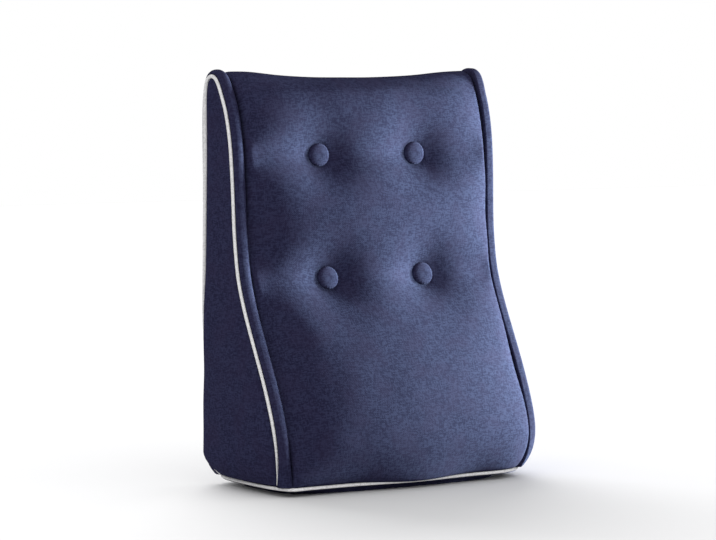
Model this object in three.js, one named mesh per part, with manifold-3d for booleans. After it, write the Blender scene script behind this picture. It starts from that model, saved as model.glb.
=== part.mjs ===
// Headboard cushion: an upholstered wedge that stands on its own base and is leaned against in bed.
// Its tufted front panel runs over the narrow top and down the back. On each side a rolled border strip
// lies between that panel and a flat side panel, with a light piping cord in the seam. A second piping
// cord closes the base seam, and a shallow base panel rests on the surface.
// Millimetres. +X is to the right as seen from the front, -Y is the front and +Z is up.

import * as THREE from 'three';
import { mergeVertices } from 'three/addons/utils/BufferGeometryUtils.js';
import Module from 'manifold-3d';

const wasm = await Module();
wasm.setup();

// Driving sizes
const seamHalfWidth = 228;
const borderWidths = { left: 20.5, right: 15.5 };
const pipingRadius = 2.5;
const basePipingRadius = 2.4;
const gap = 0.3;
const creaseGap = 0.8;
const backPlane = 107;
const baseSeamHeight = 14;
const panelHalfWidth = seamHalfWidth - (borderWidths.left + borderWidths.right) / 2;
const panelMiddle = (borderWidths.left - borderWidths.right) / 2;

// The side seam, where its piping lies: how far forward of the back plane it runs behind and in front
// at each height, from the base seam up to the arch at the top.
const seamRows = [
  { height: 14, back: 0, front: 198.8 },
  { height: 37, back: 0, front: 198.3 },
  { height: 72, back: 0, front: 193.8 },
  { height: 112, back: 0, front: 181.8 },
  { height: 157, back: 0, front: 162.6 },
  { height: 202, back: 0, front: 139.6 },
  { height: 242, back: 0, front: 119.0 },
  { height: 277, back: 0, front: 103.2 },
  { height: 307, back: 0, front: 93.2 },
  { height: 337, back: 0, front: 87.6 },
  { height: 372, back: 0, front: 83.2 },
  { height: 412, back: 0, front: 80.4 },
  { height: 452, back: 0.1, front: 77.5 },
  { height: 487, back: 0.2, front: 73.7 },
  { height: 517, back: 0.4, front: 68.0 },
  { height: 544, back: 0.9, front: 59.7 },
  { height: 565, back: 2.3, front: 49.6 },
  { height: 580, back: 5.9, front: 41.0 },
  { height: 589.5, back: 12.2, front: 32.6 },
];
const archTop = { height: 593, forward: 22.2 };

// The right-hand seam doesn't lie quite like the left-hand one: in front and behind, it runs forward of it
// by this much, and so its arch leans forward at the top.
const leanRows = [
  { height: 14, front: 0, back: 0 },
  { height: 60, front: -4, back: 0 },
  { height: 122, front: -4.5, back: 0 },
  { height: 202, front: -2.5, back: 0 },
  { height: 352, front: -3, back: 0 },
  { height: 442, front: 0, back: 0 },
  { height: 522, front: 4, back: 0 },
  { height: 562, front: 8, back: 3 },
  { height: 580, front: 12, back: 9 },
  { height: 593, front: 15, back: 15 },
];

// Behind, the side seam lies a little forward of the outline. Low down it is drawn in from the side instead,
// under the swell of the side panel.
const backSeamRows = [
  { height: 14, drawnIn: 4, forward: 0 },
  { height: 72, drawnIn: 4, forward: 0 },
  { height: 160, drawnIn: 4, forward: 0 },
  { height: 210, drawnIn: 2, forward: 0 },
  { height: 250, drawnIn: 0, forward: 1 },
  { height: 330, drawnIn: 0, forward: 2 },
  { height: 575, drawnIn: 0, forward: 2 },
  { height: 593, drawnIn: 0, forward: 0 },
];

// Where each side seam and each crease meets the base seam, right and forward of the back plane,
// and how the border draws in towards there: from which height, and how suddenly.
const baseCorners = {
  frontLeft: { seam: [-217.5, 182], crease: [-206, 203.5], height: 122, power: 2.2 },
  frontRight: { seam: [209, 170], crease: [193.5, 188.5], height: 122, power: 3.6 },
  backLeft: { seam: [-211, 25], crease: [-198.5, 6], height: 50, power: 2 },
  backRight: { seam: [211, 25], crease: [198.5, 6], height: 50, power: 2 },
};
const curlHeight = 74;

// The front edge of the base swells forward in its middle and gives way at its right-hand end. The back
// edge is straight between its corners.
const baseSwell = { depth: 9, halfWidth: 120 };
const baseRise = { start: 125, power: 3.5 };
const backCornerPower = 12;

// Fullness of the front and back panels: the shoulder beside each crease, and the crown at the middle. The
// front's shoulders come up from their creases more or less roundly, from 0, steep, to 1, a long slope.
const frontRows = [
  { height: 14, shoulder: 20, crown: 0, leftRound: 0.3, rightRound: 0.2 },
  { height: 60, shoulder: 24, crown: 10, leftRound: 0.8, rightRound: 0.3 },
  { height: 110, shoulder: 24, crown: 16, leftRound: 1, rightRound: 0.45 },
  { height: 160, shoulder: 24, crown: 15, leftRound: 1, rightRound: 0.65 },
  { height: 220, shoulder: 28, crown: 9, leftRound: 1, rightRound: 0.5 },
  { height: 301, shoulder: 30, crown: 16, leftRound: 0.6, rightRound: 0.4 },
  { height: 350, shoulder: 31, crown: 17, leftRound: 1, rightRound: 0.4 },
  { height: 390, shoulder: 29, crown: 18, leftRound: 0.8, rightRound: 0.45 },
  { height: 430, shoulder: 31, crown: 13, leftRound: 0.6, rightRound: 0.45 },
  { height: 480, shoulder: 29, crown: 4, leftRound: 0.45, rightRound: 0.45 },
  { height: 520, shoulder: 29, crown: 7, leftRound: 0.55, rightRound: 0.6 },
  { height: 556, shoulder: 24, crown: 6, leftRound: 0.4, rightRound: 0.55 },
  { height: 576, shoulder: 14, crown: 2, leftRound: 0.2, rightRound: 0.3 },
  { height: 593, shoulder: 7, crown: 0, leftRound: 0, rightRound: 0 },
];
const backRows = [
  { height: 14, shoulder: 5, crown: 3, leftRound: 0, rightRound: 0 },
  { height: 402, shoulder: 5, crown: 4, leftRound: 0, rightRound: 0 },
  { height: 522, shoulder: 5, crown: 3, leftRound: 0, rightRound: 0 },
  { height: 574, shoulder: 6, crown: 1, leftRound: 0, rightRound: 0 },
  { height: 593, shoulder: 7, crown: 0, leftRound: 0, rightRound: 0 },
];
const shoulderPower = 90;
const roundReach = 40;
const creaseLevel = 1;
const topSag = { depth: 7.5, place: 5, reach: 155, power: 3, from: 558 };

// Four covered buttons in two rows, sewn down into the front panel, as far left as right of a row's middle.
// Along each row the panel is drawn into a valley as well.
const buttonRows = [
  { name: 'upper', height: 478, middle: -1, seat: 5.5, valleyDepth: 9, valleyReach: 25 },
  { name: 'lower', height: 297.5, middle: -0.7, seat: 10, valleyDepth: 12, valleyReach: 35 },
];
const buttonOffset = 84;
const button = { radius: 17, rim: 4.8, dome: 8.6 };
const dimple = { flat: 11.5, reach: 41, power: 2, squat: 1.08 };
const valleyEndPower = 12;

// How high each border strip stands and how far the side panels swell. The right-hand border is squeezed
// narrower, and it rolls over its piping a little.
const borderNose = { left: 0.5, right: -0.8 };
const borderSquareness = 3;
const borderRows = [
  { height: 14, left: 8.4, right: 8.5 },
  { height: 46, left: 10.5, right: 9.5 },
  { height: 112, left: 10.5, right: 9 },
  { height: 202, left: 9, right: 8 },
  { height: 302, left: 9, right: 9 },
  { height: 402, left: 9, right: 9.9 },
  { height: 542, left: 10.5, right: 11.5 },
  { height: 593, left: 9.5, right: 10.5 },
];
const sideRows = [
  { height: 14, swell: 19 },
  { height: 30, swell: 21 },
  { height: 50, swell: 20 },
  { height: 160, swell: 18 },
  { height: 242, swell: 13.5 },
  { height: 282, swell: 10.5 },
  { height: 332, swell: 6 },
  { height: 422, swell: 3 },
  { height: 593, swell: 1 },
];

// The side panel swells sooner inside its back edge than inside its front one: its share of the swell,
// and how far in from the edge, in millimetres and as a share of the way on to the middle.
const sideRings = [
  { inset: 2.5, share: 0, back: 0.42, front: 0.2 },
  { inset: 8, share: 0, back: 0.75, front: 0.4 },
  { inset: 8, share: 0.3, back: 0.93, front: 0.7 },
  { inset: 8, share: 0.7, back: 1, front: 0.93 },
];
const sideHeart = { belowTop: 28, reach: 0.84, fullFrom: 45 };

// The base panel: its rim lies inside the piping, and its flank rises from the rounded patch that it rests on
// in an almost straight slope.
const basePanel = { rimInset: 4, lipInset: 0.8, lipHeight: 7.9 };
const restPatch = { middle: -8, halfWidth: 186, halfDepth: 95, power: 4 };
const flankSteepness = 0.8;

// A smooth curve through the rows of a table, as a function of height.
function alongHeight(rows, column) {
  const heights = rows.map((row) => row.height);
  const values = rows.map((row) => row[column]);
  const curve = new THREE.CubicInterpolant(heights, values, 1);
  return (height) => curve.evaluate(THREE.MathUtils.clamp(height, heights[0], heights.at(-1)))[0];
}

const leanAt = { front: alongHeight(leanRows, 'front'), back: alongHeight(leanRows, 'back') };
const backSeam = {
  drawnIn: alongHeight(backSeamRows, 'drawnIn'),
  forward: alongHeight(backSeamRows, 'forward'),
};
const [frontPanel, backPanel] = [frontRows, backRows].map((rows) => ({
  shoulder: alongHeight(rows, 'shoulder'),
  crown: alongHeight(rows, 'crown'),
  leftRound: alongHeight(rows, 'leftRound'),
  rightRound: alongHeight(rows, 'rightRound'),
}));
const borderCrownAt = { left: alongHeight(borderRows, 'left'), right: alongHeight(borderRows, 'right') };
const sideSwellAt = alongHeight(sideRows, 'swell');

// The seam's outline seen from the side: up the back, over the arch and down the front.
const outline = new THREE.CatmullRomCurve3([
  ...seamRows.map((row) => new THREE.Vector3(0, backPlane - row.back, row.height)),
  new THREE.Vector3(0, backPlane - archTop.forward, archTop.height),
  ...seamRows.toReversed().map((row) => new THREE.Vector3(0, backPlane - row.front, row.height)),
], false, 'catmullrom', 0.5);
const foot = { back: outline.getPoint(0), front: outline.getPoint(1) };

function stations(from, to, count) {
  return Array.from({ length: count + 1 }, (_, i) => THREE.MathUtils.lerp(from, to, i / count));
}

// Every ring along the outline stands at one of these: closer together where the seams draw in at the
// feet, and at each row and halfway between rows above them.
const rowSteps = 2 * seamRows.length;
const footSteps = [0, 0.13, 0.32, 0.55, 0.8, 1.1];
const ringStations = [
  ...footSteps,
  ...stations(1.5, rowSteps - 1.5, 2 * rowSteps - 6),
  ...footSteps.toReversed().map((step) => rowSteps - step),
].map((step) => step / rowSteps);

function outlineAt(t) {
  const point = outline.getPoint(t);
  const tangent = outline.getTangent(t);
  return { point, out: new THREE.Vector3(0, tangent.z, -tangent.y), face: t > 0.5 ? 'front' : 'back' };
}

// Where the outline's front passes a height.
function frontStation(height) {
  let [high, low] = [0.5, 1];
  for (let i = 0; i < 30; i += 1) {
    const middle = (high + low) / 2;
    if (outline.getPoint(middle).z > height) {
      high = middle;
    } else {
      low = middle;
    }
  }
  return low;
}

// The base seam below a panel, across it from -1 at the left crease to 1 at the right one.
function baseEdge(across, face) {
  const [left, right] = [baseCorners[`${face}Left`].crease, baseCorners[`${face}Right`].crease];
  const x = THREE.MathUtils.lerp(left[0], right[0], (across + 1) / 2);
  if (face === 'back') {
    return new THREE.Vector3(x, backPlane - left[1] * Math.abs(across) ** backCornerPower, baseSeamHeight);
  }
  const swell = baseSwell.depth * Math.cos(Math.PI / 2 * Math.min(Math.abs(x) / baseSwell.halfWidth, 1)) ** 2;
  const share = Math.max((x - baseRise.start) / (right[0] - baseRise.start), 0);
  const rise = (left[1] - right[1]) * share ** baseRise.power;
  return new THREE.Vector3(x, backPlane - left[1] - swell + rise, baseSeamHeight);
}

// 0 above the tuck, 1 at the base seam, from the left-hand corner's tuck across to the right-hand one's.
function tuckAt(height, face, rightShare) {
  const [left, right] = [baseCorners[`${face}Left`], baseCorners[`${face}Right`]];
  const share = (left.height - height) / (left.height - baseSeamHeight);
  const power = THREE.MathUtils.lerp(left.power, right.power, rightShare);
  return THREE.MathUtils.clamp(share, 0, 1) ** power;
}

// 1 above the curl, falling to 0 at the base seam along a quarter of an ellipse.
function curlAt(height) {
  const share = THREE.MathUtils.clamp((curlHeight - height) / (curlHeight - baseSeamHeight), 0, 1);
  return Math.sqrt(1 - share * share);
}

// A point that follows the outline at x, leans with the right-hand side and ends at its base point.
function drawnPoint(t, x, end) {
  const { point, face } = outlineAt(t);
  const rightShare = (x / seamHalfWidth + 1) / 2;
  const lean = (height) => leanAt[face](height) * rightShare;
  const shiftX = end.x - x;
  const shiftY = end.y - foot[face].y + lean(baseSeamHeight);
  const tuck = tuckAt(point.z, face, rightShare);
  return new THREE.Vector3(x + shiftX * tuck, point.y - lean(point.z) + shiftY * tuck, point.z);
}

function sideSeam(t, side) {
  const { point, face } = outlineAt(t);
  const [x, forward] = baseCorners[face + (side < 0 ? 'Left' : 'Right')].seam;
  const end = new THREE.Vector3(x, backPlane - forward, baseSeamHeight);
  if (face === 'front') {
    return drawnPoint(t, side * seamHalfWidth, end);
  }
  const seam = drawnPoint(t, side * (seamHalfWidth - backSeam.drawnIn(point.z)), end);
  seam.y -= backSeam.forward(point.z);
  return seam;
}

// A panel runs from -1 at its left crease to 1 at its right one.
function panelX(across) {
  return panelMiddle + across * panelHalfWidth;
}

function acrossAt(x) {
  return (x - panelMiddle) / panelHalfWidth;
}

// Share of its height that a shoulder has reached: steep beside the crease, or coming up from it in a slope.
function shoulderShare(across, side, roundness) {
  const steep = Math.sqrt(1 - Math.abs(across) ** shoulderPower);
  const slope = 1 - Math.exp(-panelHalfWidth * (1 - side * across) / roundReach);
  return THREE.MathUtils.lerp(steep, slope, roundness);
}

// Height of a panel over the outline before its buttons are sewn in.
function fullLift(panel, across, height) {
  const left = shoulderShare(across, -1, panel.leftRound(height));
  const right = shoulderShare(across, 1, panel.rightRound(height));
  const rightShare = THREE.MathUtils.smoothstep(across, -1, 1);
  const shoulder = panel.shoulder(height) * THREE.MathUtils.lerp(left, right, rightShare);
  const crown = panel.crown(height) * (1 - across * across);
  const high = THREE.MathUtils.clamp((height - topSag.from) / (archTop.height - topSag.from), 0, 1);
  const place = Math.abs(panelX(across) - topSag.place) / topSag.reach;
  const sag = topSag.depth * high ** 2 * Math.exp(-(place ** topSag.power));
  return creaseLevel + shoulder + crown - sag;
}

function panelLift(t, across, height) {
  if (t < 0.5) {
    return fullLift(backPanel, across, height);
  }
  const x = panelX(across);
  const along = 1 - across ** valleyEndPower;
  let lift = fullLift(frontPanel, across, height);
  for (const row of buttonRows) {
    const up = height - row.height;
    lift -= row.valleyDepth * along * Math.exp(-((up / row.valleyReach) ** 2));
    for (const side of [-1, 1]) {
      const buttonX = row.middle + side * buttonOffset;
      const sewnIn = fullLift(frontPanel, acrossAt(buttonX), row.height) - row.valleyDepth - row.seat;
      const away = Math.max(Math.hypot(x - buttonX, dimple.squat * up) - dimple.flat, 0);
      lift -= sewnIn / (1 + (away / dimple.reach) ** dimple.power);
    }
  }
  return lift;
}

function panelPoint(t, across, fixedLift = null) {
  const { point, out, face } = outlineAt(t);
  const lift = (fixedLift ?? panelLift(t, across, point.z)) * curlAt(point.z);
  return drawnPoint(t, panelX(across), baseEdge(across, face)).addScaledVector(out, lift);
}

// The border's own axes at t: across it from the seam to the crease, and out from the filling.
function borderFrame(t, side) {
  const step = 0.004;
  const seam = sideSeam(t, side);
  const across = panelPoint(t, side, creaseLevel).sub(seam);
  const width = across.length();
  across.normalize();
  const before = sideSeam(Math.max(t - step, 0), side);
  const along = sideSeam(Math.min(t + step, 1), side).sub(before).normalize();
  const out = new THREE.Vector3().crossVectors(along, across).multiplyScalar(-side).normalize();
  return { seam, across, out, width, height: seam.z };
}

function borderFrames(side) {
  return ringStations.map((t) => borderFrame(t, side));
}

function borderPoint(frame, across, out) {
  const point = frame.seam.clone().addScaledVector(frame.across, across).addScaledVector(frame.out, out);
  point.z = Math.max(point.z, baseSeamHeight);
  return point;
}

function volumeOf(position, index) {
  const corner = (i) => new THREE.Vector3().fromArray(position, 3 * index[i]);
  let sum = 0;
  for (let i = 0; i < index.length; i += 3) {
    sum += corner(i).dot(corner(i + 1).cross(corner(i + 2))) / 6;
  }
  return sum;
}

// One closed mesh through rings of equal length. A cap lists triangles over one ring's points.
function solidOfRings(rings, startCap, endCap) {
  const count = rings[0].length;
  const position = rings.flat().flatMap((point) => point.toArray());
  const index = [];
  for (let start = 0; start < (rings.length - 1) * count; start += count) {
    for (let i = 0; i < count; i += 1) {
      const [a, b] = [start + i, start + (i + 1) % count];
      index.push(a, b, b + count, a, b + count, a + count);
    }
  }
  const last = (rings.length - 1) * count;
  index.push(...startCap.flatMap(([a, b, c]) => [c, b, a]));
  index.push(...endCap.flatMap(([a, b, c]) => [last + a, last + b, last + c]));
  if (volumeOf(position, index) < 0) {
    index.reverse();
  }
  const geometry = new THREE.BufferGeometry();
  geometry.setAttribute('position', new THREE.Float32BufferAttribute(position, 3));
  geometry.setIndex(index);
  geometry.computeVertexNormals();
  return geometry;
}

// Triangles across an arch-shaped ring, rung by rung from its foot to its top.
function ladderCap(count) {
  const triangles = [];
  for (let [low, high] = [0, count - 1]; high - low > 1; low += 1, high -= 1) {
    triangles.push([low, low + 1, high]);
    if (high - low > 2) {
      triangles.push([low + 1, high - 1, high]);
    }
  }
  return triangles;
}

function flatCap(points) {
  const corners = points.map(([x, y]) => new THREE.Vector2(x, y));
  const triangles = THREE.ShapeUtils.triangulateShape(corners, []);
  return THREE.ShapeUtils.isClockWise(corners) ? triangles.map((triangle) => triangle.toReversed()) : triangles;
}

function manifoldOf(geometry) {
  const bare = geometry.clone();
  bare.deleteAttribute('normal');
  bare.deleteAttribute('uv');
  const merged = mergeVertices(bare, 1e-4);
  return new wasm.Manifold(new wasm.Mesh({
    numProp: 3,
    vertProperties: new Float32Array(merged.getAttribute('position').array),
    triVerts: new Uint32Array(merged.getIndex().array),
  }));
}

function geometryOf(manifold) {
  const mesh = manifold.getMesh();
  const geometry = new THREE.BufferGeometry();
  geometry.setAttribute('position', new THREE.BufferAttribute(mesh.vertProperties, 3));
  geometry.setIndex(new THREE.BufferAttribute(mesh.triVerts, 1));
  geometry.computeVertexNormals();
  return geometry;
}

// Where a button sits: the middle of its seat, and the turn from the Y axis to the seat's own axis.
function buttonSeat(row, side) {
  const t = frontStation(row.height);
  const turn = new THREE.Quaternion().setFromUnitVectors(new THREE.Vector3(0, 1, 0), outlineAt(t).out);
  return { place: panelPoint(t, acrossAt(row.middle + side * buttonOffset), row.seat), turn };
}

// Filled body: rings from the left border to the right one, each up the back and down the front.
function bodyGeometry() {
  const wallDepth = 4.6;
  const columns = 24;
  const wall = (side) => borderFrames(side).map((frame) => borderPoint(frame, frame.width, -wallDepth));
  const across = stations(-1, 1, columns).map((s) => 0.3 * s + 0.7 * Math.sin(Math.PI / 2 * s));
  const panel = across.map((place) => ringStations.map((t) => panelPoint(t, place)));
  const cap = ladderCap(ringStations.length);
  let body = manifoldOf(solidOfRings([wall(-1), ...panel, wall(1)], cap, cap));
  for (const row of buttonRows) {
    for (const side of [-1, 1]) {
      const { place, turn } = buttonSeat(row, side);
      const depth = 30;
      const pocket = new THREE.CylinderGeometry(button.radius + 0.6, button.radius + 0.6, depth, 20);
      pocket.translate(0, depth / 2, 0).applyQuaternion(turn).translate(place.x, place.y, place.z);
      body = body.subtract(manifoldOf(pocket));
    }
  }
  return geometryOf(body);
}

// Rolled border strip: a pad between the piping and the crease, half a superellipse in section.
function borderGeometry(side) {
  const word = side < 0 ? 'left' : 'right';
  const underside = -3.2;
  const besidePiping = [[pipingRadius + 0.4, underside], [pipingRadius + 0.2, 1.4], [1, pipingRadius + 0.5]];
  const section = ({ width, height }) => {
    const inner = width - creaseGap;
    const halfWidth = (inner - borderNose[word]) / 2;
    const crown = borderCrownAt[word](height);
    const roll = stations(155, 25, 4).map((degrees) => {
      const angle = THREE.MathUtils.degToRad(degrees);
      const sideways = Math.sign(Math.cos(angle)) * Math.abs(Math.cos(angle)) ** (2 / borderSquareness);
      const upwards = Math.sin(angle) ** (2 / borderSquareness);
      return [borderNose[word] + halfWidth * (1 + sideways), crown * upwards];
    });
    return [...besidePiping, ...roll, [inner, 0], [inner, underside]];
  };
  const frames = borderFrames(side);
  const rings = frames.map((frame) => section(frame).map(([across, out]) => borderPoint(frame, across, out)));
  return solidOfRings(rings, flatCap(section(frames[0])), flatCap(section(frames.at(-1))));
}

// Side panel with its share of the filling, under the border strip and inside the piping.
function sideGeometry(side) {
  const rimLevel = -4.2;
  const frames = borderFrames(side);
  const inner = frames.map((frame) => borderPoint(frame, frame.width - creaseGap, rimLevel));
  const rim = frames.map((frame) => borderPoint(frame, -1, rimLevel));
  const swollen = ({ inset, share, back, front }) => rim.map((point, i) => {
    const middle = point.clone().lerp(rim[rim.length - 1 - i], 0.5);
    middle.z = Math.min(middle.z, archTop.height - sideHeart.belowTop);
    const depth = point.distanceTo(middle);
    const moved = Math.min(inset / depth + share, sideHeart.reach);
    const full = i < rim.length / 2 ? back : front;
    const swell = sideSwellAt(point.z) * full * Math.min(depth / sideHeart.fullFrom, 1);
    return point.clone().lerp(middle, moved).add(new THREE.Vector3(side * swell, 0, 0));
  });
  const rings = [inner, rim, ...sideRings.map(swollen)];
  return solidOfRings(rings, ladderCap(rim.length), ladderCap(rim.length));
}

// Piping cord in a side seam, from just above the base seam behind to just above it in front.
function sidePipingGeometry(side) {
  const sides = 8;
  const ring = stations(0, 2 * Math.PI, sides).slice(0, -1)
    .map((angle) => [pipingRadius * Math.cos(angle), pipingRadius * Math.sin(angle)]);
  const rings = borderFrames(side).slice(1, -1)
    .map((frame) => ring.map(([across, out]) => borderPoint(frame, across, out)));
  return solidOfRings(rings, flatCap(ring), flatCap(ring));
}

// The base seam, once round from the middle of the back, at a height.
function baseLoop(height, count) {
  const cornerOf = ({ seam }) => new THREE.Vector3(seam[0], backPlane - seam[1], height);
  const edge = (face, from, to, steps) => stations(from, to, steps)
    .map((across) => baseEdge(across, face).setZ(height));
  const curve = new THREE.CatmullRomCurve3([
    ...edge('back', 0, 1, 4),
    cornerOf(baseCorners.backRight),
    cornerOf(baseCorners.frontRight),
    ...edge('front', 1, -1, 14),
    cornerOf(baseCorners.frontLeft),
    cornerOf(baseCorners.backLeft),
    ...edge('back', -1, 0, 4).slice(0, -1),
  ], true, 'centripetal');
  return curve.getSpacedPoints(count).slice(0, count);
}

function basePipingGeometry() {
  const height = baseSeamHeight - gap - basePipingRadius;
  const joint = 0.25;
  const [middle, ...points] = baseLoop(height, 96);
  const start = middle.clone().setX(middle.x + joint);
  const end = middle.clone().setX(middle.x - joint);
  const section = new THREE.Shape().absarc(0, 0, basePipingRadius, 0, 2 * Math.PI);
  return new THREE.ExtrudeGeometry(section, {
    steps: 80,
    curveSegments: 4,
    extrudePath: new THREE.CatmullRomCurve3([start, ...points, end], false, 'centripetal'),
  });
}

// A ring of the base panel, moved in towards the middle of the base by an inset.
function basePanelRing(inset, height, count) {
  const loop = baseLoop(height, count);
  return loop.map((point, i) => {
    const along = loop[(i + 1) % count].clone().sub(loop[(i - 1 + count) % count]).normalize();
    return new THREE.Vector3(point.x + along.y * inset, point.y - along.x * inset, height);
  });
}

function basePanelGeometry() {
  const count = 64;
  const { rimInset, lipInset, lipHeight } = basePanel;
  const { halfWidth, halfDepth, power } = restPatch;
  const middle = new THREE.Vector3(restPatch.middle, (foot.back.y + foot.front.y) / 2, 0);
  const rest = baseLoop(0, count).map((point) => {
    const away = point.clone().sub(middle);
    const reach = (Math.abs(away.x) / halfWidth) ** power + (Math.abs(away.y) / halfDepth) ** power;
    return away.multiplyScalar(reach ** (-1 / power)).add(middle);
  });
  const lip = basePanelRing(lipInset, lipHeight, count);
  const flank = [0.35, 0.7].map((share) => lip.map((point, i) => {
    return point.clone().lerp(rest[i], share).setZ(lipHeight * (1 - share) ** flankSteepness);
  }));
  const top = basePanelRing(rimInset, baseSeamHeight - gap, count);
  const rings = [top, basePanelRing(rimInset, lipHeight + 0.4, count), lip, ...flank, rest];
  const cap = (ring) => flatCap(ring.map((point) => [point.x, point.y]));
  return solidOfRings(rings, cap(top), cap(rest));
}

// Covered button: a flat back, a low rim and a dome.
function buttonGeometry() {
  const { radius, rim, dome } = button;
  const rise = dome - rim;
  const profile = [[0, 0], [radius - 1, 0], [radius, 1], [radius, rim]];
  for (const degrees of [25, 50, 70]) {
    const angle = THREE.MathUtils.degToRad(degrees);
    profile.push([radius * Math.cos(angle), rim + rise * Math.sin(angle)]);
  }
  profile.push([0, dome]);
  return new THREE.LatheGeometry(profile.map(([r, y]) => new THREE.Vector2(r, y)), 16);
}

function cloth() {
  return new THREE.MeshStandardMaterial({ color: 0x2d3563, roughness: 0.92, metalness: 0 });
}

function pipingCloth() {
  return new THREE.MeshStandardMaterial({ color: 0xd6d3cb, roughness: 0.85, metalness: 0 });
}

const cushion = new THREE.Group();

function addPiece(name, geometry, material) {
  const piece = new THREE.Mesh(geometry, material);
  piece.name = name;
  cushion.add(piece);
  return piece;
}

addPiece('cushion_body', bodyGeometry(), cloth());
for (const [side, word] of [[-1, 'left'], [1, 'right']]) {
  addPiece(`border_${word}`, borderGeometry(side), cloth());
  addPiece(`side_panel_${word}`, sideGeometry(side), cloth());
  addPiece(`piping_${word}`, sidePipingGeometry(side), pipingCloth());
  for (const row of buttonRows) {
    const { place, turn } = buttonSeat(row, side);
    const piece = addPiece(`button_${row.name}_${word}`, buttonGeometry(), cloth());
    piece.quaternion.copy(turn);
    piece.position.copy(place).add(new THREE.Vector3(0, gap, 0).applyQuaternion(turn));
  }
}
addPiece('base_panel', basePanelGeometry(), cloth());
addPiece('piping_base', basePipingGeometry(), pipingCloth());

export default cushion;
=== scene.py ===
"""Headboard cushion: an upholstered wedge with a tufted front, rolled borders and light piping.

Every surface is worked out on a grid from the sizes below, in millimetres, and becomes metres when it is
made a mesh. +X is to the right as seen from the front, -Y is the front and +Z is up.
"""

from __future__ import annotations

import logging
import math
from dataclasses import dataclass, field
from enum import Enum
from typing import Callable

import bpy
import numpy as np
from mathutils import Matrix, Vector


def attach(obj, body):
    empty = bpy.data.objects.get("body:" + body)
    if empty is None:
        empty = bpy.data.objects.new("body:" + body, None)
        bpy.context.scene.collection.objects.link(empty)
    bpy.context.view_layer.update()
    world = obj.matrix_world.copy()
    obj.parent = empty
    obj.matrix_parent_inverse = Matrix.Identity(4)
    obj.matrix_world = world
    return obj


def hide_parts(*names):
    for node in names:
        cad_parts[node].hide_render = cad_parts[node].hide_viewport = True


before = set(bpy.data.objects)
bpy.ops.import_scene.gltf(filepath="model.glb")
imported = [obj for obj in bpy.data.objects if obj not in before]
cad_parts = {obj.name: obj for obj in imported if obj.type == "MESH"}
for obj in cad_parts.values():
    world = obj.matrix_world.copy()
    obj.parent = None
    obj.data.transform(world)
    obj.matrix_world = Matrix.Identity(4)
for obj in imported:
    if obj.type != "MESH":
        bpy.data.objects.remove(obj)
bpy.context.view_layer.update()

LOG = logging.getLogger("headboard_cushion")
MM = 0.001
Colour = tuple[float, float, float]
Place = tuple[float, float, float]
Profile = Callable[[np.ndarray], np.ndarray]


class Side(Enum):
    """Side of the cushion, as seen from the front."""

    LEFT = -1
    RIGHT = 1

    @property
    def word(self) -> str:
        """Plain word for the side, as the nodes' names have it."""
        return self.name.lower()


class Face(Enum):
    """Panel of the cushion that a corner of the base belongs to."""

    BACK = "back"
    FRONT = "front"


class Cap(Enum):
    """How the open end of a run of rings is closed."""

    FLAT = "one flat face"
    LADDER = "rungs across an arch"


class CubicCurve:
    """Smooth curve through points, one cubic between each two knots.

    The slope at a knot is the mean of the slopes of the straight lines on its two sides, or, where it is
    drawn to the nearer point, their mean weighted towards the shorter line.
    """

    def __init__(self, knots: np.ndarray, points: np.ndarray, to_nearer: bool = False) -> None:
        """Works out the slope at each knot.

        Args:
            knots: Rising places along the curve, one for each point.
            points: The points, one row each.
            to_nearer: Weights each slope towards the shorter of the two lines.
        """
        self.knots = np.asarray(knots, float)
        self.points = np.asarray(points, float).reshape(len(self.knots), -1)
        gaps = np.diff(self.knots)[:, None]
        lines = np.diff(self.points, axis=0) / gaps
        before, after = (gaps[1:], gaps[:-1]) if to_nearer else (1.0, 1.0)
        inner = (lines[:-1] * before + lines[1:] * after) / (before + after)
        self.slopes = np.vstack([lines[:1], inner, lines[-1:]])

    def _span(self, at: np.ndarray) -> tuple[np.ndarray, np.ndarray, np.ndarray]:
        """Finds the span that each place lies in, its width, and the share of it passed.

        Args:
            at: Places along the curve.

        Returns:
            The span's number, its width, and the share passed, the last two with an axis added.
        """
        at = np.clip(np.asarray(at, float), self.knots[0], self.knots[-1])
        index = np.clip(np.searchsorted(self.knots, at, side="right") - 1, 0, len(self.knots) - 2)
        width = self.knots[index + 1] - self.knots[index]
        share = (at - self.knots[index]) / width
        return index, width[..., None], share[..., None]

    def __call__(self, at: np.ndarray) -> np.ndarray:
        """Gives the curve's points at the places.

        Args:
            at: Places along the curve.

        Returns:
            One point for each place.
        """
        index, width, s = self._span(at)
        start, end = self.points[index], self.points[index + 1]
        leave, arrive = self.slopes[index] * width, self.slopes[index + 1] * width
        blend = s * s * (3 - 2 * s)
        return start + (end - start) * blend + leave * s * (1 - s) ** 2 - arrive * s * s * (1 - s)

    def slope(self, at: np.ndarray) -> np.ndarray:
        """Gives the curve's slope at the places.

        Args:
            at: Places along the curve.

        Returns:
            The slope at each place, in each direction.
        """
        index, width, s = self._span(at)
        rise = (self.points[index + 1] - self.points[index]) * 6 * s * (1 - s) / width
        leave = self.slopes[index] * (1 - s) * (1 - 3 * s)
        return rise + leave + self.slopes[index + 1] * s * (3 * s - 2)


def table(columns: str, *rows: tuple[float, ...]) -> np.ndarray:
    """Makes a table from rows of numbers, read by its columns' names, which have spaces between them."""
    return np.array(list(rows), dtype=[(name, float) for name in columns.split()])


def by_height(rows: np.ndarray, column: str) -> Profile:
    """Makes a smooth profile by height from one column of a table."""
    curve = CubicCurve(rows["height"], rows[column])
    return lambda height: curve(height)[..., 0]


def profiles(rows: np.ndarray) -> dict[str, Profile]:
    """Makes a smooth profile by height from each column of a table but the heights."""
    return {column: by_height(rows, column) for column in rows.dtype.names[1:]}


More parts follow.
